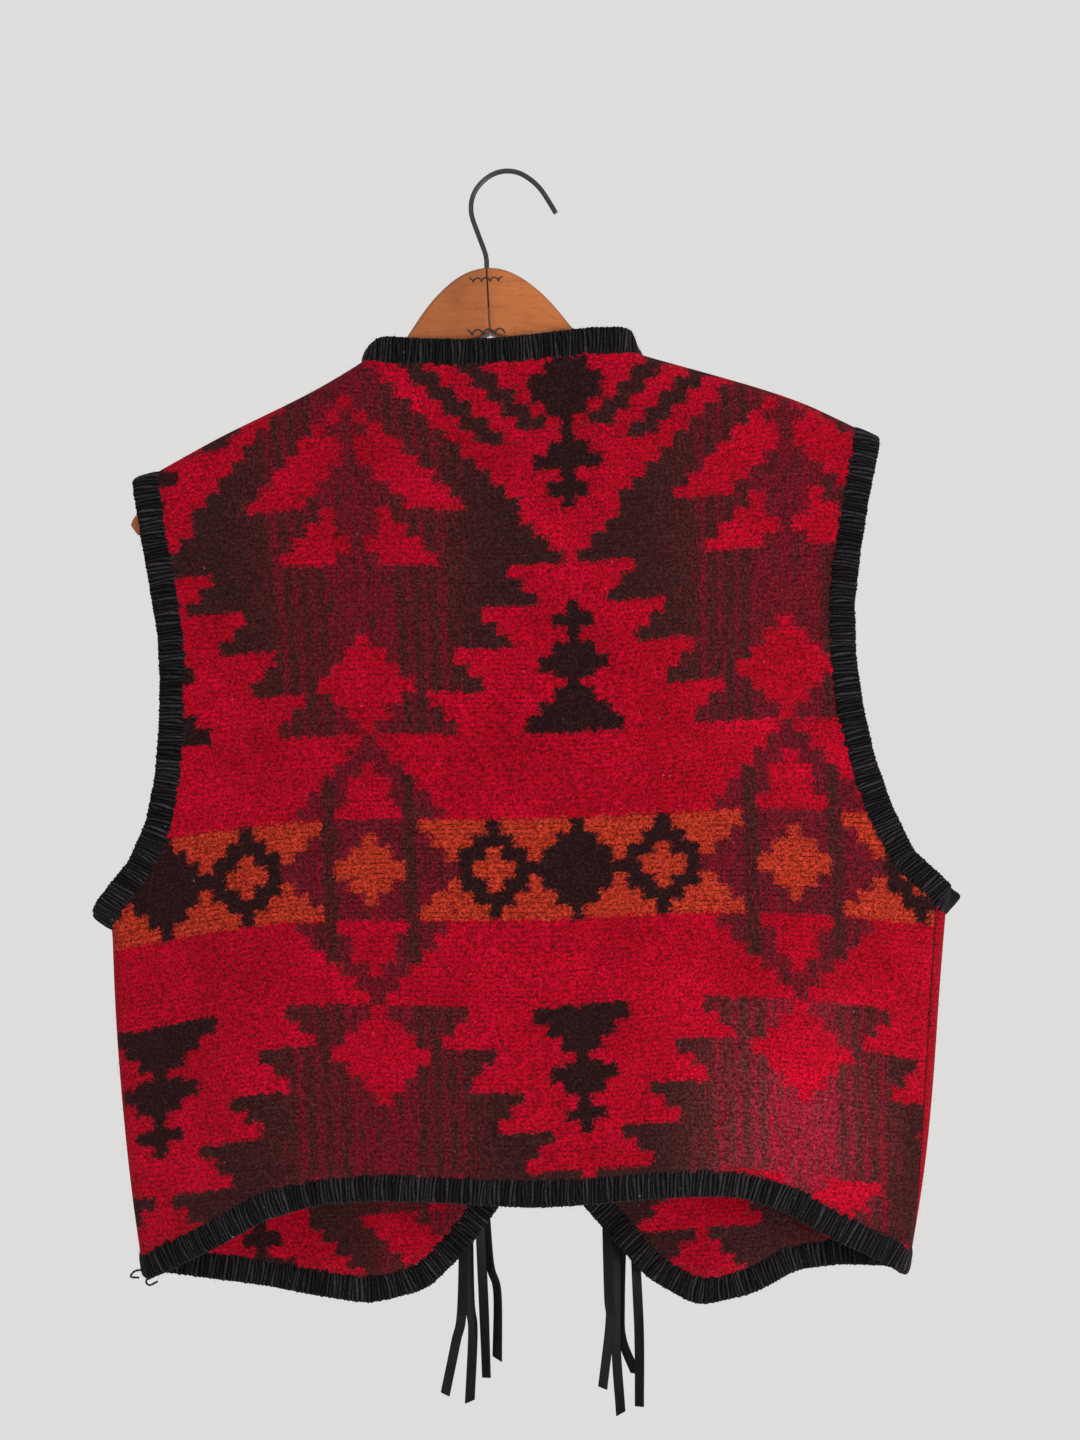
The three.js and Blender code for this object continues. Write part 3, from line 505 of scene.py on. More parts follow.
# places on the back, from the hook in millimetres, with the cell and the row that lie there
backPlaces = [
    # totem in the middle
    (10.4, -126.1, -3, 36), (67.2, -121.7, 3, 36), (21.1, -153.1, -2, 33), (58.3, -148.6, 2, 33),
    (-8.4, -172.0, -5.5, 31), (88.0, -166.3, 5.5, 31), (40.6, -190.9, 0, 28.4), (44.1, -318.2, 0, 14),
    (45.9, -440.9, 0, 0), (49.6, -566.0, 0, -14),
    # medallions
    (-101.5, -143.8, -15, 33.5), (-93.3, -215.4, -15, 25.6), (-90.3, -253.3, -15, 21.5),
    (-84.8, -327.5, -15, 13), (-82.4, -442.2, -15, 0), (-73.9, -557.3, -15, -13),
    (178.9, -202.8, 15, 25.6), (178.1, -238.9, 15, 21.5), (177.7, -314.6, 15, 13),
    (182.5, -438.0, 15, 0), (188.0, -554.7, 15, -13),
    # towards the left side
    (-227.3, -200.0, -30, 28.9), (-205.2, -239.9, -27.5, 24), (-200.0, -279.7, -27.5, 19),
    (-158.4, -331.1, -23.5, 13), (-212.6, -456.0, -30, 0), (-244.9, -463.3, -33.9, 0),
    (-136.9, -531.4, -21.5, -10), (-170.0, -587.6, -25.5, -16), (-188.7, -621.3, -27.5, -19),
    (-210.6, -545.8, -30, -10), (-219.6, -582.4, -30, -14.2),
    # towards the right side
    (124.4, -525.2, 8.5, -10), (91.2, -576.7, 4.5, -16), (73.8, -603.2, 2.5, -19),
    (242.8, -535.7, 21.5, -10), (261.2, -568.5, 23.5, -13), (236.7, -442.2, 21, 0),
    (265.6, -445.6, 24.2, 0),
]


# a thin plate through the places, which gives cell and row anywhere between them
def smoothField(places):
    points = np.array([[p[0], p[1]] for p in places]) / 100
    values = np.array([[p[2], p[3]] for p in places], float)
    count = len(points)

    def kernel(d):
        return np.where(d > 1e-9, d * d * np.log(np.maximum(d, 1e-9)), 0.0)

    away = np.linalg.norm(points[:, None] - points[None], axis=2)
    plane = np.hstack([np.ones((count, 1)), points])
    left = np.block([[kernel(away) + 0.08 * np.eye(count), plane], [plane.T, np.zeros((3, 3))]])
    weights = np.linalg.solve(left, np.vstack([values, np.zeros((3, 2))]))

    def at(across, up):
        here = np.column_stack([across, up]) / 100
        d = np.linalg.norm(here[:, None] - points[None], axis=2)
        flat = np.column_stack([np.ones(len(here)), here])
        return kernel(d) @ weights[:count] + flat @ weights[count:]

    return at


backField = smoothField(backPlaces)


# where the cloth turns over, in millimetres from the hook
turned = {"middle": 16, "sidesFrom": 215, "sidesBelow": -420, "shouldersAbove": -300}


# the length along a turned edge from its depth to where the turn begins
def turnedLength(depth, radius):
    angle = np.arcsin(np.clip(np.abs(depth) / radius, 0, 1))
    return radius * ((math.pi / 2 - angle) - np.cos(angle))


# places across and up the cloth in millimetres, with the turned sides laid flat
def laidFlat(points):
    across, depth, up = points[:, 0] / mm, points[:, 1] / mm, points[:, 2] / mm
    off = across - turned["middle"]
    atSide = (np.abs(off) > turned["sidesFrom"]) & (up < turned["sidesBelow"])
    across = across + np.sign(off) * np.where(atSide, turnedLength(depth, cloth["fold"]), 0)
    return across, depth, up


def chartBack(points):
    across, depth, up = laidFlat(points)
    atTop = up > turned["shouldersAbove"]
    up = up + np.where(atTop, turnedLength(depth, cloth["shoulderFold"]), 0)
    return backField(across, up)


def chartFront(centre, level, tilt):
    def at(points):
        across, _, up = laidFlat(points)
        off = across - centre
        return np.column_stack([off, up - level - tilt * off]) / cloth["cell"]
    return at


def chartOnto(obj, field):
    cells = field(coordinatesOf(obj))
    layer = obj.data.uv_layers.new(name="chart")
    corners = np.array([loop.vertex_index for loop in obj.data.loops])
    layer.data.foreach_set("uv", cells[corners].astype(np.float32).ravel())


# soft troughs and ridges from x, z to x, z, with half width and depth into the vest, in millimetres
creases = {
    "back_panel": [
        (-191, -505, -194, -611, 12, 1.5), (-168, -520, -158, -622, 10, -1.1),
        (-41, -500, 14, -530, 13, 0.9), (218, -470, 222, -615, 13, 1.3),
        (196, -500, 203, -590, 10, -0.8), (61, -470, 54, -585, 15, 0.8),
        (-196, -245, -135, -300, 14, 1.0), (222, -240, 168, -290, 13, 0.9),
        (-214, -330, -150, -352, 12, -0.9), (8, -225, -12, -300, 15, 0.7),
        (226, -330, 170, -362, 12, 0.9)],
    "front_left_panel": [
        (-180, -500, -170, -625, 12, -1.2), (-120, -430, -75, -540, 14, -1.0),
        (-205, -290, -150, -330, 12, -0.9), (-60, -330, -48, -470, 12, 0.8)],
    "front_right_panel": [
        (205, -490, 196, -620, 12, -1.2), (150, -420, 118, -545, 14, -0.9),
        (216, -280, 165, -325, 12, -1.0), (96, -320, 88, -460, 13, 0.8)],
}


seam = {"within": 0.0002, "past": -0.7}


# a crease fades out over both its ends
def creased(points, rows):
    x, z = points[:, 0] / mm, points[:, 2] / mm
    for x1, z1, x2, z2, width, depth in rows:
        length = math.hypot(x2 - x1, z2 - z1)
        run = ((x - x1) * (x2 - x1) + (z - z1) * (z2 - z1)) / length
        off = ((x - x1) * (z2 - z1) - (z - z1) * (x2 - x1)) / length
        fade = np.clip(np.minimum(run + 0.3 * length, 1.3 * length - run) / (0.6 * length), 0, 1)
        points[:, 1] += depth * mm * fade * fade * (3 - 2 * fade) * np.exp(-(off / width) ** 2)
    return points


# faces at a seam stand a little apart in the solids, and the sewn ones pass just over its plane
def closeSeam(depths):
    return np.where(np.abs(depths) < seam["within"], seam["past"] * depths, depths)


def clothPanel(node, name, field, material):
    obj = copyOfNode(node, name)
    creaseSharp(obj, cloth["rimAngle"])
    subdivide(obj, cloth["levels"])
    points = coordinatesOf(obj)
    points[:, 1] = closeSeam(points[:, 1])
    points = creased(points, creases[node])
    obj.data.vertices.foreach_set("co", points.ravel())
    chartOnto(obj, field)
    obj.data.materials.append(material)
    pick(obj)
    bpy.ops.object.shade_smooth_by_angle(angle=math.radians(cloth["smoothAngle"]))
    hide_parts(node)
    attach(obj, "root")
    print("cloth", name, len(obj.data.polygons))
    return obj


wool = woolMaterial("jacquardWool")
backPanel = clothPanel("back_panel", "wool_back", chartBack, wool)
leftPanel = clothPanel("front_left_panel", "wool_front_left", chartFront(105, -432, 0.07), wool)
rightPanel = clothPanel("front_right_panel", "wool_front_right", chartFront(127.5, -490, 0.07), wool)


# A binding's solid is a row of rings, each with 8 corners in one plane. In metres, span is how far a
# ring's corners can be apart, flat how far off its plane, and probe how far off the cloth is looked for.
section = {"corners": 8, "span": 0.018, "flat": 1.5e-6, "probe": 0.0072}

# Millimetres. Pitch is one wrap, reach how unevenly the wraps end on the cloth, evening and rounding
# how often the path is smoothed. Sway and shake are the size, rate and turn of the wraps' waver.
binding = {"width": 14.5, "thick": 4.7, "step": 0.5, "pitch": 2.2, "ridge": 0.9, "around": 18,
           "overCloth": 2.6, "reach": 1.2, "neckEnd": 24, "neckDrop": 9, "neckAbove": -160,
           "evening": 30, "rounding": 260, "wrapWidths": (0.6, 1.4), "wrapHeights": (0.6, 1.2),
           "lean": (0.9, 0.35), "sway": (0.45, 0.37, 2.1), "shake": (0.25, 1.3, 4)}


# the rings of a binding's solid in order along it, and whether they close on themselves
def ringsOf(obj):
    points = coordinatesOf(obj)
    around = [set() for _ in points]
    for polygon in obj.data.polygons:
        corners = list(polygon.vertices)
        for k, here in enumerate(corners):
            for other in (corners[k - 1], corners[(k + 1) % len(corners)]):
                around[here].add(other)

    def flatRing(start):
        for p in around[start]:
            for q in around[start]:
                if q <= p:
                    continue
                normal = np.cross(points[p] - points[start], points[q] - points[start])
                size = np.linalg.norm(normal)
                if size < 1e-9:
                    continue
                near = set()
                for k, point in enumerate(points):
                    arm = point - points[start]
                    inPlane = abs(np.dot(arm, normal / size)) < section["flat"]
                    if np.linalg.norm(arm) < section["span"] and inPlane:
                        near.add(k)
                if len(near) == section["corners"] and all(len(around[k] & near) >= 2 for k in near):
                    return near
        return None

    def connected(candidates):
        groups = []
        left = set(candidates)
        while left:
            group, edge = set(), [left.pop()]
            while edge:
                here = edge.pop()
                group.add(here)
                more = around[here] & left
                left -= more
                edge.extend(more)
            groups.append(group)
        return groups

    def walk(ring, used):
        found = []
        while True:
            nextTo = set().union(*(around[k] for k in ring)) - used
            groups = [g for g in connected(nextTo) if len(g) == section["corners"]]
            if not groups:
                return found
            ring = groups[0]
            found.append(ring)
            used |= ring

    first = next(filter(None, map(flatRing, range(0, len(points), 3))))
    used = set(first)
    ahead = walk(first, used)
    behind = walk(first, used)
    rings = behind[::-1] + [first] + ahead
    ends = set().union(*(around[k] for k in rings[0]))
    closed = len(rings) > 4 and bool(ends & rings[-1])
    return [points[sorted(ring)] for ring in rings], closed


def smoothed(rows, closed, times):
    for _ in range(times):
        before = np.roll(rows, 1, 0)
        after = np.roll(rows, -1, 0)
        middle = rows * 0.5 + (before + after) * 0.25
        if not closed:
            middle[0], middle[-1] = rows[0], rows[-1]
        rows = middle
    return rows


# ring by ring along the solid: its middle, its way out from the cloth and the cloth's normal there
def pathOf(rings, clothPoints):
    centres, outs, faces = [], [], []
    for ring in rings:
        centre = ring.mean(0)
        out, face = np.linalg.svd(ring - centre)[2][:2]
        probe = out * section["probe"]
        toFar = np.linalg.norm(clothPoints - (centre + probe), axis=1).min()
        toNear = np.linalg.norm(clothPoints - (centre - probe), axis=1).min()
        if toFar < toNear:
            out = -out
        if faces and np.dot(face, faces[-1]) < 0:
            face = -face
        centres.append(centre)
        outs.append(out)
        faces.append(face)
    return np.array(centres), np.array(outs), np.array(faces)


def wrappedBinding(node, name, panels, material):
    shell = copyOfNode(node, name + "_path")
    rings, closed = ringsOf(shell)
    bpy.data.objects.remove(shell)
    clothPoints = np.vstack([coordinatesOf(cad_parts[panel]) for panel in panels])
    centres, outs, faces = pathOf(rings, clothPoints)
    if closed:
        centres, outs, faces = (np.vstack([rows, rows[:1]]) for rows in (centres, outs, faces))
    along = np.concatenate([[0], np.cumsum(np.linalg.norm(np.diff(centres, axis=0), axis=1))]) / mm
    length = along[-1]
    marks = np.linspace(0, length, int(length / binding["step"]) + 1)
    if closed:
        marks = marks[:-1]

    def spread(rows):
        return np.column_stack([np.interp(marks, along, rows[:, k]) for k in range(3)])

    times = binding["evening" if closed else "rounding"]
    middle = smoothed(spread(centres), closed, times)
    if not closed:
        middle[[0, -1], 1] = closeSeam(middle[[0, -1], 1])
    out = smoothed(spread(outs), closed, times)
    face = smoothed(spread(faces), closed, binding["evening"])
    out /= np.linalg.norm(out, axis=1)[:, None]
    face -= out * np.sum(out * face, axis=1)[:, None]
    face /= np.linalg.norm(face, axis=1)[:, None]

    # each wrap of yarn has its own width, height, reach over the cloth and shade
    wraps = max(int(length / binding["pitch"]), 3)
    widths = rng.uniform(*binding["wrapWidths"], wraps)
    edges = np.concatenate([[0], np.cumsum(widths)]) / widths.sum() * length
    height = rng.uniform(*binding["wrapHeights"], wraps)
    reach = rng.uniform(-binding["reach"], binding["reach"], wraps)
    shade = rng.uniform(0, 1, wraps)
    drop = np.zeros(len(marks))  # the outer rim sinks where an open run ends at a neck point
    if not closed:
        for end, away in ((0, marks), (-1, length - marks)):
            if middle[end][2] > binding["neckAbove"] * mm:
                near = np.clip(away / binding["neckEnd"], 0, 1)
                drop += binding["neckDrop"] * (1 - np.sqrt(1 - (1 - near) ** 2))

    def waver(c, size, rate, turn):
        return size * np.sin(marks * rate + turn * c)

    # the section's corners one by one, each as a line along the whole binding
    around = binding["around"]
    halfWide, halfThick = binding["width"] / 2, binding["thick"] / 2
    points = np.zeros((len(marks), around, 3))
    wrapToneAndGrooveShade = np.zeros((len(marks), around))
    for k, turn in enumerate(np.arange(around) / around * 2 * math.pi):
        c, s = math.cos(turn), math.sin(turn)
        lean = binding["lean"][0] * s + binding["lean"][1] * c
        where = (marks + lean + waver(c, *binding["sway"]) + waver(c, *binding["shake"])) % length
        wrap = np.clip(np.searchsorted(edges, where, side="right") - 1, 0, wraps - 1)
        inside = (where - edges[wrap]) / (edges[wrap + 1] - edges[wrap])
        ridge = np.sin(np.pi * inside) ** 0.7 * height[wrap] * binding["ridge"]
        lump = ridge - binding["ridge"] * 0.5
        wide = math.copysign(abs(c) ** 0.55, c) * halfWide  # the powers square the oval section
        wide = wide - max(0.0, -c) * (binding["overCloth"] + reach[wrap])
        wide = wide - drop * max(0.0, 0.35 + 0.65 * c)
        wide = wide + math.copysign(1, c) * lump * abs(c) ** 1.5
        deep = math.copysign(abs(s) ** 0.75, s) * halfThick
        deep = deep + math.copysign(1, s) * lump * (abs(s) ** 0.5 if s else 0)
        points[:, k] = middle + (wide[:, None] * out + deep[:, None] * face) * mm
        # each wrap's own tone, darkened towards its two edges: painted shade in the grooves between wraps
        wrapToneAndGrooveShade[:, k] = (0.55 + 0.45 * shade[wrap]) * np.sin(np.pi * inside)
    faceList = []
    rows = len(marks)
    for i in range(rows if closed else rows - 1):
        j = (i + 1) % rows
        for k in range(around):
            m = (k + 1) % around
            faceList.append((i * around + k, i * around + m, j * around + m, j * around + k))
    if not closed:
        faceList.append(tuple(range(around))[::-1])
        faceList.append(tuple((rows - 1) * around + k for k in range(around)))
    mesh = bpy.data.meshes.new(name)
    mesh.from_pydata(points.reshape(-1, 3).tolist(), [], faceList)
    obj = newPiece(name, mesh)
    pick(obj)
    editAll()
    bpy.ops.mesh.normals_make_consistent(inside=False)
    bpy.ops.object.mode_set(mode="OBJECT")
    bpy.ops.object.shade_smooth()
    layer = obj.data.attributes.new("shade", "FLOAT", "POINT")
    layer.data.foreach_set("value", wrapToneAndGrooveShade.ravel().astype(np.float32))
    obj.data.materials.append(material)
    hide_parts(node)
    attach(obj, "root")
    print("binding", name, "rings", len(rings), "length", round(length), "triangles", 2 * len(faceList))
    return obj


blackYarn = yarnMaterial()
bindings = {}
for node, panels in {
    "back_neck_binding": ["back_panel"],
    "back_hem_binding": ["back_panel"],
    "armhole_binding_left": ["back_panel", "front_left_panel"],
    "armhole_binding_right": ["back_panel", "front_right_panel"],
    "front_binding_left": ["front_left_panel"],
    "front_binding_right": ["front_right_panel"],
}.items():
    bindings[node] = wrappedBinding(node, "yarn_" + node, panels, blackYarn)


# each thong is its depth from the knot and the x, z places it hangs through, in millimetres
thong = {"width": 6.4, "thick": 1.4, "step": 3.0, "twist": 0.28, "ends": (-0.35, 0.5, 0.1, -0.55)}
knot = {"radius": 7.5, "cord": 1.8, "flatness": 0.45, "height": 1.25, "rise": 3.6, "depth": 4.5,
        "tilts": (12, -9, 8)}
ties = {
    "left": {"start": (-20, -585), "thongs": [
        (2, [(-26, -660), (-28, -734), (-32, -756), (-39, -790)]),
        (5, [(-24, -660), (-23, -728), (-21, -750), (-23, -796)]),
        (2, [(-17, -660), (-14, -726), (-13, -751), (-12, -779)]),
        (5, [(-14, -660), (-10, -705), (-5, -724), (-5, -768)])]},
    "right": {"start": (74, -585), "thongs": [
        (2, [(67, -660), (68, -724), (69, -742), (64, -786)]),
        (5, [(73, -660), (73, -728), (73, -762), (76, -804)]),
        (2, [(83, -660), (87, -730), (88, -760), (88, -798)]),
        (8, [(77, -660), (76, -730), (77, -756), (86, -779)])]},
}


# a smooth line through places, a step apart
def curveThrough(points, step):
    points = [Vector(p) for p in points]
    points = [points[0] * 2 - points[1]] + points + [points[-1] * 2 - points[-2]]
    line = []
    for k in range(1, len(points) - 2):
        p0, p1, p2, p3 = points[k - 1:k + 3]
        pieces = max(int((p2 - p1).length / step), 2)
        for s in range(pieces):
            t = s / pieces
            line.append(0.5 * ((2 * p1) + (p2 - p0) * t + (2 * p0 - 5 * p1 + 4 * p2 - p3) * t * t
                               + (3 * p1 - p0 - 3 * p2 + p3) * t ** 3))
    line.append(points[-2])
    return line


def headingAt(line, k):
    return (line[min(k + 1, len(line) - 1)] - line[max(k - 1, 0)]).normalized()


# a flat strip with bevelled edges, twisted a little along its line and cut off aslant at its end
def stripAlong(work, line, twist, phase, cut):
    half, thick = thong["width"] / 2, thong["thick"] / 2
    edge = thick * 0.45
    profile = [(half, edge), (half - edge, thick), (-half + edge, thick), (-half, edge),
               (-half, -edge), (-half + edge, -thick), (half - edge, -thick), (half, -edge)]
    rings = []
    for k, here in enumerate(line):
        ahead = headingAt(line, k)
        share = k / (len(line) - 1)
        turn = Matrix.Rotation(twist * math.sin(phase + share * 5.2) * min(1, share * 3), 3, ahead)
        side = turn @ Vector((0, 1, 0)).cross(ahead).normalized()
        depth = ahead.cross(side)
        slant = cut if k == len(line) - 1 else 0
        rings.append([work.verts.new((here + side * w + depth * d + ahead * (slant * w)) * mm)
                      for w, d in profile])
    skin(work, rings)
    work.faces.new(rings[0][::-1])
    work.faces.new(rings[-1])


def leatherTie(side, material):
    node = "tie_" + side
    startX, startZ = ties[side]["start"]
    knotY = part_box(node)[0].y / mm + knot["depth"]
    work = bmesh.new()
    for index, (depth, points) in enumerate(ties[side]["thongs"]):
        layer = knotY + depth
        start = (startX, knotY, startZ)
        firstX, firstZ = points[0]
        leave = (startX + 0.4 * (firstX - startX), layer, startZ + 0.35 * (firstZ - startZ))
        line = curveThrough([start, leave] + [(x, layer, z) for x, z in points], thong["step"])
        stripAlong(work, line, thong["twist"] + 0.1 * index, 1.3 * index, thong["ends"][index])
    obj = pieceFrom(work, "leather_" + node)
    turns = []  # of thong round the bundle, which make the knot
    for row, tilt in enumerate(knot["tilts"]):
        deselectAll()
        bpy.ops.mesh.primitive_torus_add(
            major_segments=24, minor_segments=10,
            major_radius=knot["radius"] * mm, minor_radius=knot["cord"] * mm,
            location=(startX * mm, knotY * mm, (startZ + (row - 1) * knot["rise"]) * mm),
            rotation=(0, math.radians(tilt), 0))
        turn = bpy.context.object
        turn.scale = (1, knot["flatness"], knot["height"])
        bpy.ops.object.transform_apply(location=True, rotation=True, scale=True)
        turns.append(turn)
    pick(obj)
    for turn in turns:
        turn.select_set(True)
    bpy.ops.object.join()
    bpy.ops.object.shade_smooth_by_angle(angle=math.radians(40))
    obj.data.materials.append(material)
    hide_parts(node)
    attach(obj, "root")
    print("tie", side, len(obj.data.polygons))
    return obj


blackLeather = leatherMaterial()
leftTie = leatherTie("left", blackLeather)
rightTie = leatherTie("right", blackLeather)

varnished = woodMaterial()
wood = {"bevel": 0.7, "bevelAngle": 50, "rimAngle": 40, "smoothAngle": 38, "levels": 2}


def hangerArm(node, name):
    obj = copyOfNode(node, name)
    creaseSharp(obj, wood["rimAngle"])
    subdivide(obj, wood["levels"])
    pick(obj)
    modifier = obj.modifiers.new("soften", "BEVEL")
    modifier.width = wood["bevel"] * mm
    modifier.segments = 2
    modifier.limit_method = "ANGLE"
    modifier.angle_limit = math.radians(wood["bevelAngle"])
    bpy.ops.object.modifier_apply(modifier=modifier.name)
    bpy.ops.object.shade_smooth_by_angle(angle=math.radians(wood["smoothAngle"]))
    obj.data.materials.append(varnished)
    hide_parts(node)
    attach(obj, "root")
    print("wood", name)


hangerArm("hanger_arm_left", "wood_arm_left")
hangerArm("hanger_arm_right", "wood_arm_right")

darkWire = wireMaterial("darkWire", (0.05, 0.05, 0.052), (0.085, 0.078, 0.072), 0.85)
wire = {"rimAngle": 70, "smoothAngle": 50, "levels": 2}

hook = copyOfNode("hanger_hook", "wire_hook")
creaseSharp(hook, wire["rimAngle"])
subdivide(hook, wire["levels"])
bpy.ops.object.shade_smooth_by_angle(angle=math.radians(wire["smoothAngle"]))
hook.data.materials.append(darkWire)
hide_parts("hanger_hook")
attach(hook, "root")
print("hook")

fastenerIron = wireMaterial("fastenerIron", (0.014, 0.01, 0.008), (0.045, 0.026, 0.016), 0.1)

# corrugated fasteners driven across the wood's joint, seen edge on, in millimetres
fasteners = {
    "upper": {"x": (-22.0, -0.8), "z": -69.6, "waves": 4.0, "height": 1.25, "thick": 0.8},
    "lower": {"x": (-23.5, 0.8), "z": -102.6, "waves": 3.5, "height": 1.5, "thick": 0.95},
    "depth": (-7.25, -4.0), "tilt": 3, "swing": 0.9, "middle": -12, "steps": 48,
}


def corrugated(name, size):
    left, right = size["x"]
    front, back = fasteners["depth"]
    middle = ((left + right) / 2 * mm, (front + back) / 2 * mm, size["z"] * mm)
    deselectAll()
    bpy.ops.mesh.primitive_grid_add(x_subdivisions=fasteners["steps"], y_subdivisions=1, size=1 * mm,
                                    location=middle)
    obj = bpy.context.object
    obj.name = obj.data.name = name
    obj.scale = (right - left, back - front, 1)
    bpy.ops.object.transform_apply(location=True, rotation=True, scale=True)
    for vertex in obj.data.vertices:
        share = (vertex.co.x / mm - left) / (right - left)
        angle = share * size["waves"] * 2 * math.pi
        vertex.co.x += fasteners["swing"] * mm * math.sin(angle)
        vertex.co.z += size["height"] * mm * math.cos(angle)
        off = vertex.co.x - fasteners["middle"] * mm
        vertex.co.z += off * math.tan(math.radians(fasteners["tilt"]))
    pick(obj)
    modifier = obj.modifiers.new("plate", "SOLIDIFY")
    modifier.thickness = size["thick"] * mm
    modifier.offset = 0
    bpy.ops.object.modifier_apply(modifier=modifier.name)
    obj.data.materials.append(fastenerIron)
    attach(obj, "root")
    print("fastener", name, len(obj.data.polygons))


corrugated("joint_fastener_upper", fasteners["upper"])
corrugated("joint_fastener_lower", fasteners["lower"])

# stray hairs in millimetres, mostly along the outlines, with each piece's share of them
hairCorners = (0, 2.1, 4.2)
fuzz = {
    "stray_wool_hairs": {"slot": "wool", "count": 3000, "length": (1.5, 5.0), "width": 0.11,
                         "colours": ((0.36, 0.01, 0.03), (0.06, 0.02, 0.02)),
                         "on": [(backPanel, 0.6), (leftPanel, 0.2), (rightPanel, 0.2)]},
    "stray_yarn_hairs": {"slot": "yarn", "count": 2600, "length": (1.2, 3.6), "width": 0.13,
                         "colours": ((0.004, 0.004, 0.004), (0.02, 0.018, 0.02)),
                         "on": [(piece, 1 / 6) for piece in bindings.values()]},
}


def strayHairs(name, size):
    work = bmesh.new()
    for piece, share in size["on"]:
        mesh = piece.data
        areas = np.array([face.area for face in mesh.polygons])
        rim = np.array([1.0 + 5.0 * max(0.0, 1 - abs(face.normal.y) * 2.2) for face in mesh.polygons])
        chance = areas * rim
        chosen = rng.choice(len(areas), int(size["count"] * share), p=chance / chance.sum())
        for index in chosen:
            face = mesh.polygons[int(index)]
            normal = face.normal.copy()
            side = normal.cross(Vector(rng.normal(size=3))).normalized()
            ahead = (normal * rng.uniform(0.25, 0.9) + side * rng.uniform(0.5, 1.0)).normalized()
            bend = side.cross(normal) * rng.uniform(-0.8, 0.8)
            length = rng.uniform(*size["length"]) * mm
            rings = []
            for k in range(3):
                t = k / 3
                middle = face.center + ahead * (length * t) + bend * (length * t * t)
                width = size["width"] * mm * (1 - 0.5 * t)
                corners = []
                for q in hairCorners:
                    spoke = side * math.cos(q) + normal.cross(side) * math.sin(q)
                    corners.append(middle + spoke * width / 2 + normal * (math.sin(q) * width / 2))
                rings.append([work.verts.new(corner) for corner in corners])
            tip = work.verts.new(face.center + ahead * length + bend * length)
            skin(work, rings)
            for k in range(3):
                work.faces.new((rings[-1][k], rings[-1][(k + 1) % 3], tip))
            work.faces.new(rings[0][::-1])
    obj = pieceFrom(work, name)
    n = Nodes(name)
    colour = n.mix(n.span(n.noise(240), 0.45, 0.6), *size["colours"])
    n.set(Base_Color=colour, Roughness=0.95, Specular_IOR_Level=0.03)
    obj.data.materials.append(n.material)
    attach(obj, "root")
    print("hairs", name, len(obj.data.polygons))


for name, size in fuzz.items():
    strayHairs(name, size)


# two loose yarn ends at the left hem corner, in millimetres from the hook
tails = {
    "width": 1.3, "step": 0.8, "corners": 6, "shade": 0.7,
    "lines": [
        [(-220, -3, -694), (-227, -6, -698), (-234, -7, -699), (-237, -6, -703), (-232, -5, -704)],
        [(-216, -3, -697), (-221, -6, -702), (-227, -7, -705), (-225, -7, -708), (-220, -6, -706)],
    ],
}


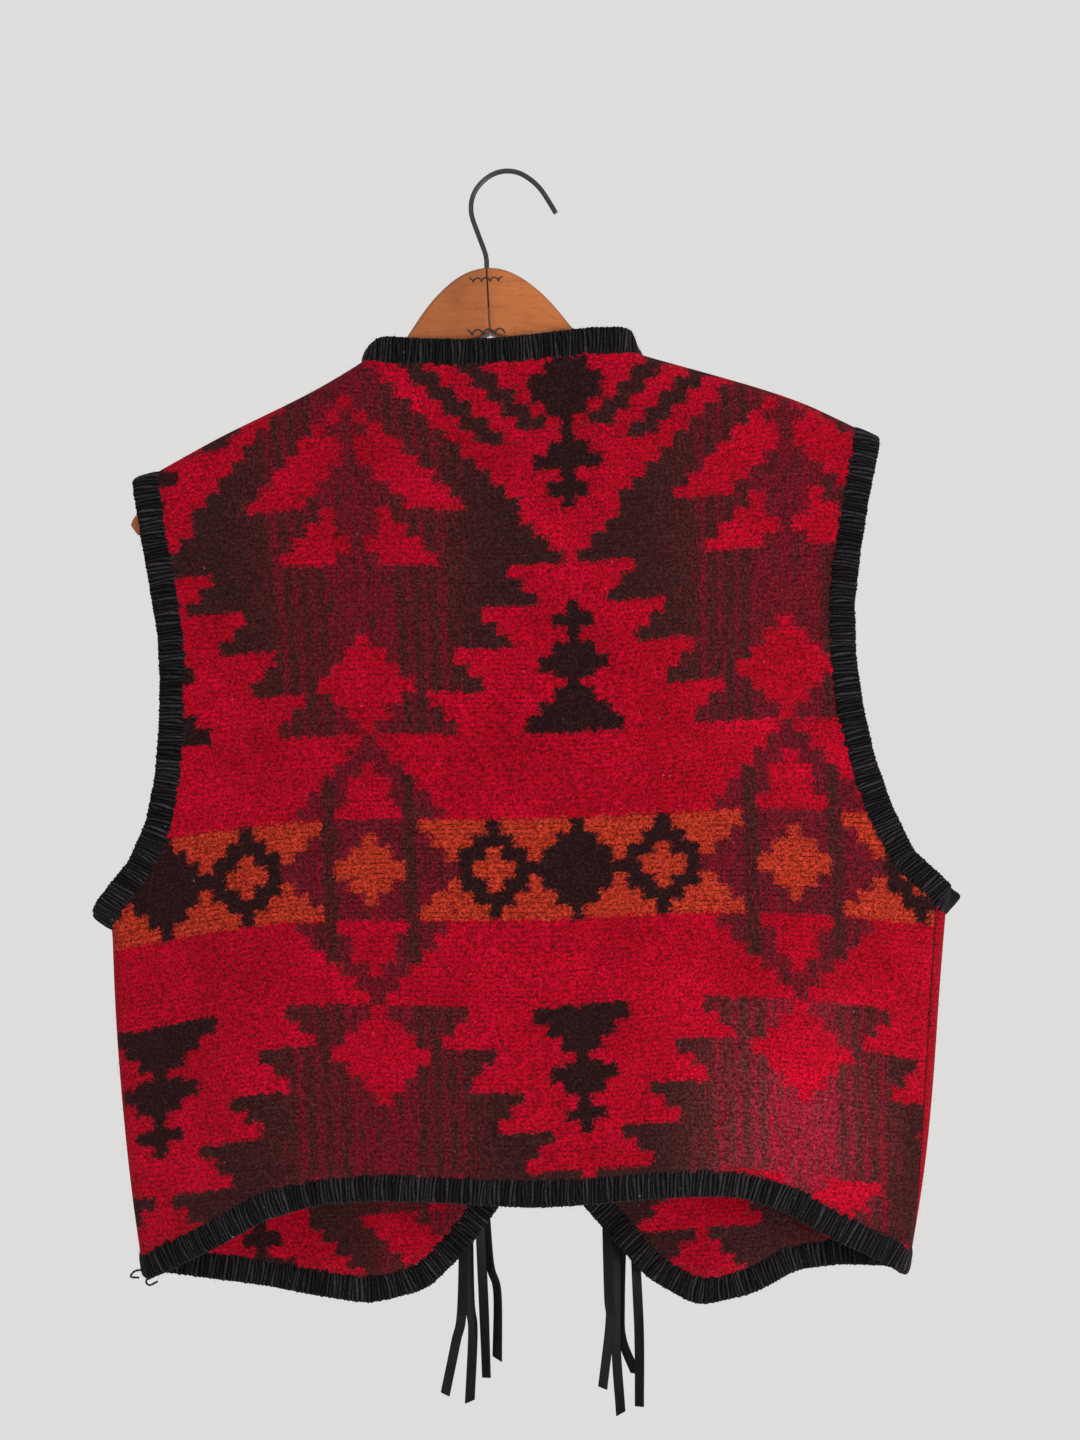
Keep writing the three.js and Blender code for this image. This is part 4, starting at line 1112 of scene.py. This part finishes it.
def yarnTails(name):
    work = bmesh.new()
    for line in tails["lines"]:
        rings = []
        path = curveThrough(line, tails["step"])
        for k, here in enumerate(path):
            ahead = headingAt(path, k)
            side = ahead.cross(Vector((0, 1, 0))).normalized()
            up = side.cross(ahead)
            half = tails["width"] / 2 * (1 + 0.2 * math.sin(k * 2.4))
            corners = []
            for turn in range(tails["corners"]):
                q = 2 * math.pi * turn / tails["corners"]
                corners.append(here + side * (half * math.cos(q)) + up * (half * math.sin(q)))
            rings.append([work.verts.new(corner * mm) for corner in corners])
        skin(work, rings)
        work.faces.new(rings[0][::-1])
        work.faces.new(rings[-1])
    obj = pieceFrom(work, name)
    pick(obj)
    bpy.ops.object.shade_smooth_by_angle(angle=math.radians(60))
    layer = obj.data.attributes.new("shade", "FLOAT", "POINT")
    layer.data.foreach_set("value", [tails["shade"]] * len(obj.data.vertices))
    obj.data.materials.append(blackYarn)
    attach(obj, "root")
    print("loose ends", name)


yarnTails("loose_yarn_ends")

# a floor far below the hem, and a pale room all round
room = {"floorSize": 3, "floorLevel": -1.75, "pale": (0.81, 0.805, 0.79, 1), "strength": 0.9}
deselectAll()
bpy.ops.mesh.primitive_plane_add(size=room["floorSize"], location=(0, 0, room["floorLevel"]))
floor = bpy.context.object
floor.name = "floor"
floor.data.materials.append(stageMaterial())
floor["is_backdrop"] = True

world = bpy.data.worlds.new("paleRoom")
bpy.context.scene.world = world
world.use_nodes = True
background = world.node_tree.nodes["Background"]
background.inputs["Color"].default_value = room["pale"]
background.inputs["Strength"].default_value = room["strength"]


# metres and watts
lights = {
    "window": {"place": (1.4, -1.1, -0.75), "target": (0, 0, -0.5), "size": 1.0, "power": 22,
               "colour": (1.0, 0.985, 0.97)},
    "above": {"place": (-0.6, -1.5, 1.2), "target": (0, 0, -0.4), "size": 1.0, "power": 6,
              "colour": (0.97, 0.98, 1.0)},
}


def softLight(name, place, target, size, power, colour):
    data = bpy.data.lights.new(name, "AREA")
    data.shape = "DISK"
    data.size = size
    data.energy = power
    data.color = colour
    obj = newPiece(name, data)
    obj.location = place
    obj.rotation_euler = (Vector(target) - Vector(place)).to_track_quat("-Z", "Y").to_euler()


for name, light in lights.items():
    softLight(name, **light)

# where the photo was taken from, with lens and sensor in millimetres
camera = {"place": (0.023, -1.0, -0.3492), "lens": 39.1, "sensor": 36}
cameraData = bpy.data.cameras.new("photoCamera")
cameraData.sensor_fit = "VERTICAL"
cameraData.sensor_height = camera["sensor"]
cameraData.lens = camera["lens"]
cameraPiece = newPiece("photoCamera", cameraData)
cameraPiece.location = camera["place"]
cameraPiece.rotation_euler = (math.pi / 2, 0, 0)
bpy.context.scene.camera = cameraPiece
bpy.context.scene.view_settings.view_transform = "Standard"
print("stage, light and camera")

size = {"cad": [list(corner) for corner in cadBox], "visual": [list(corner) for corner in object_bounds()]}
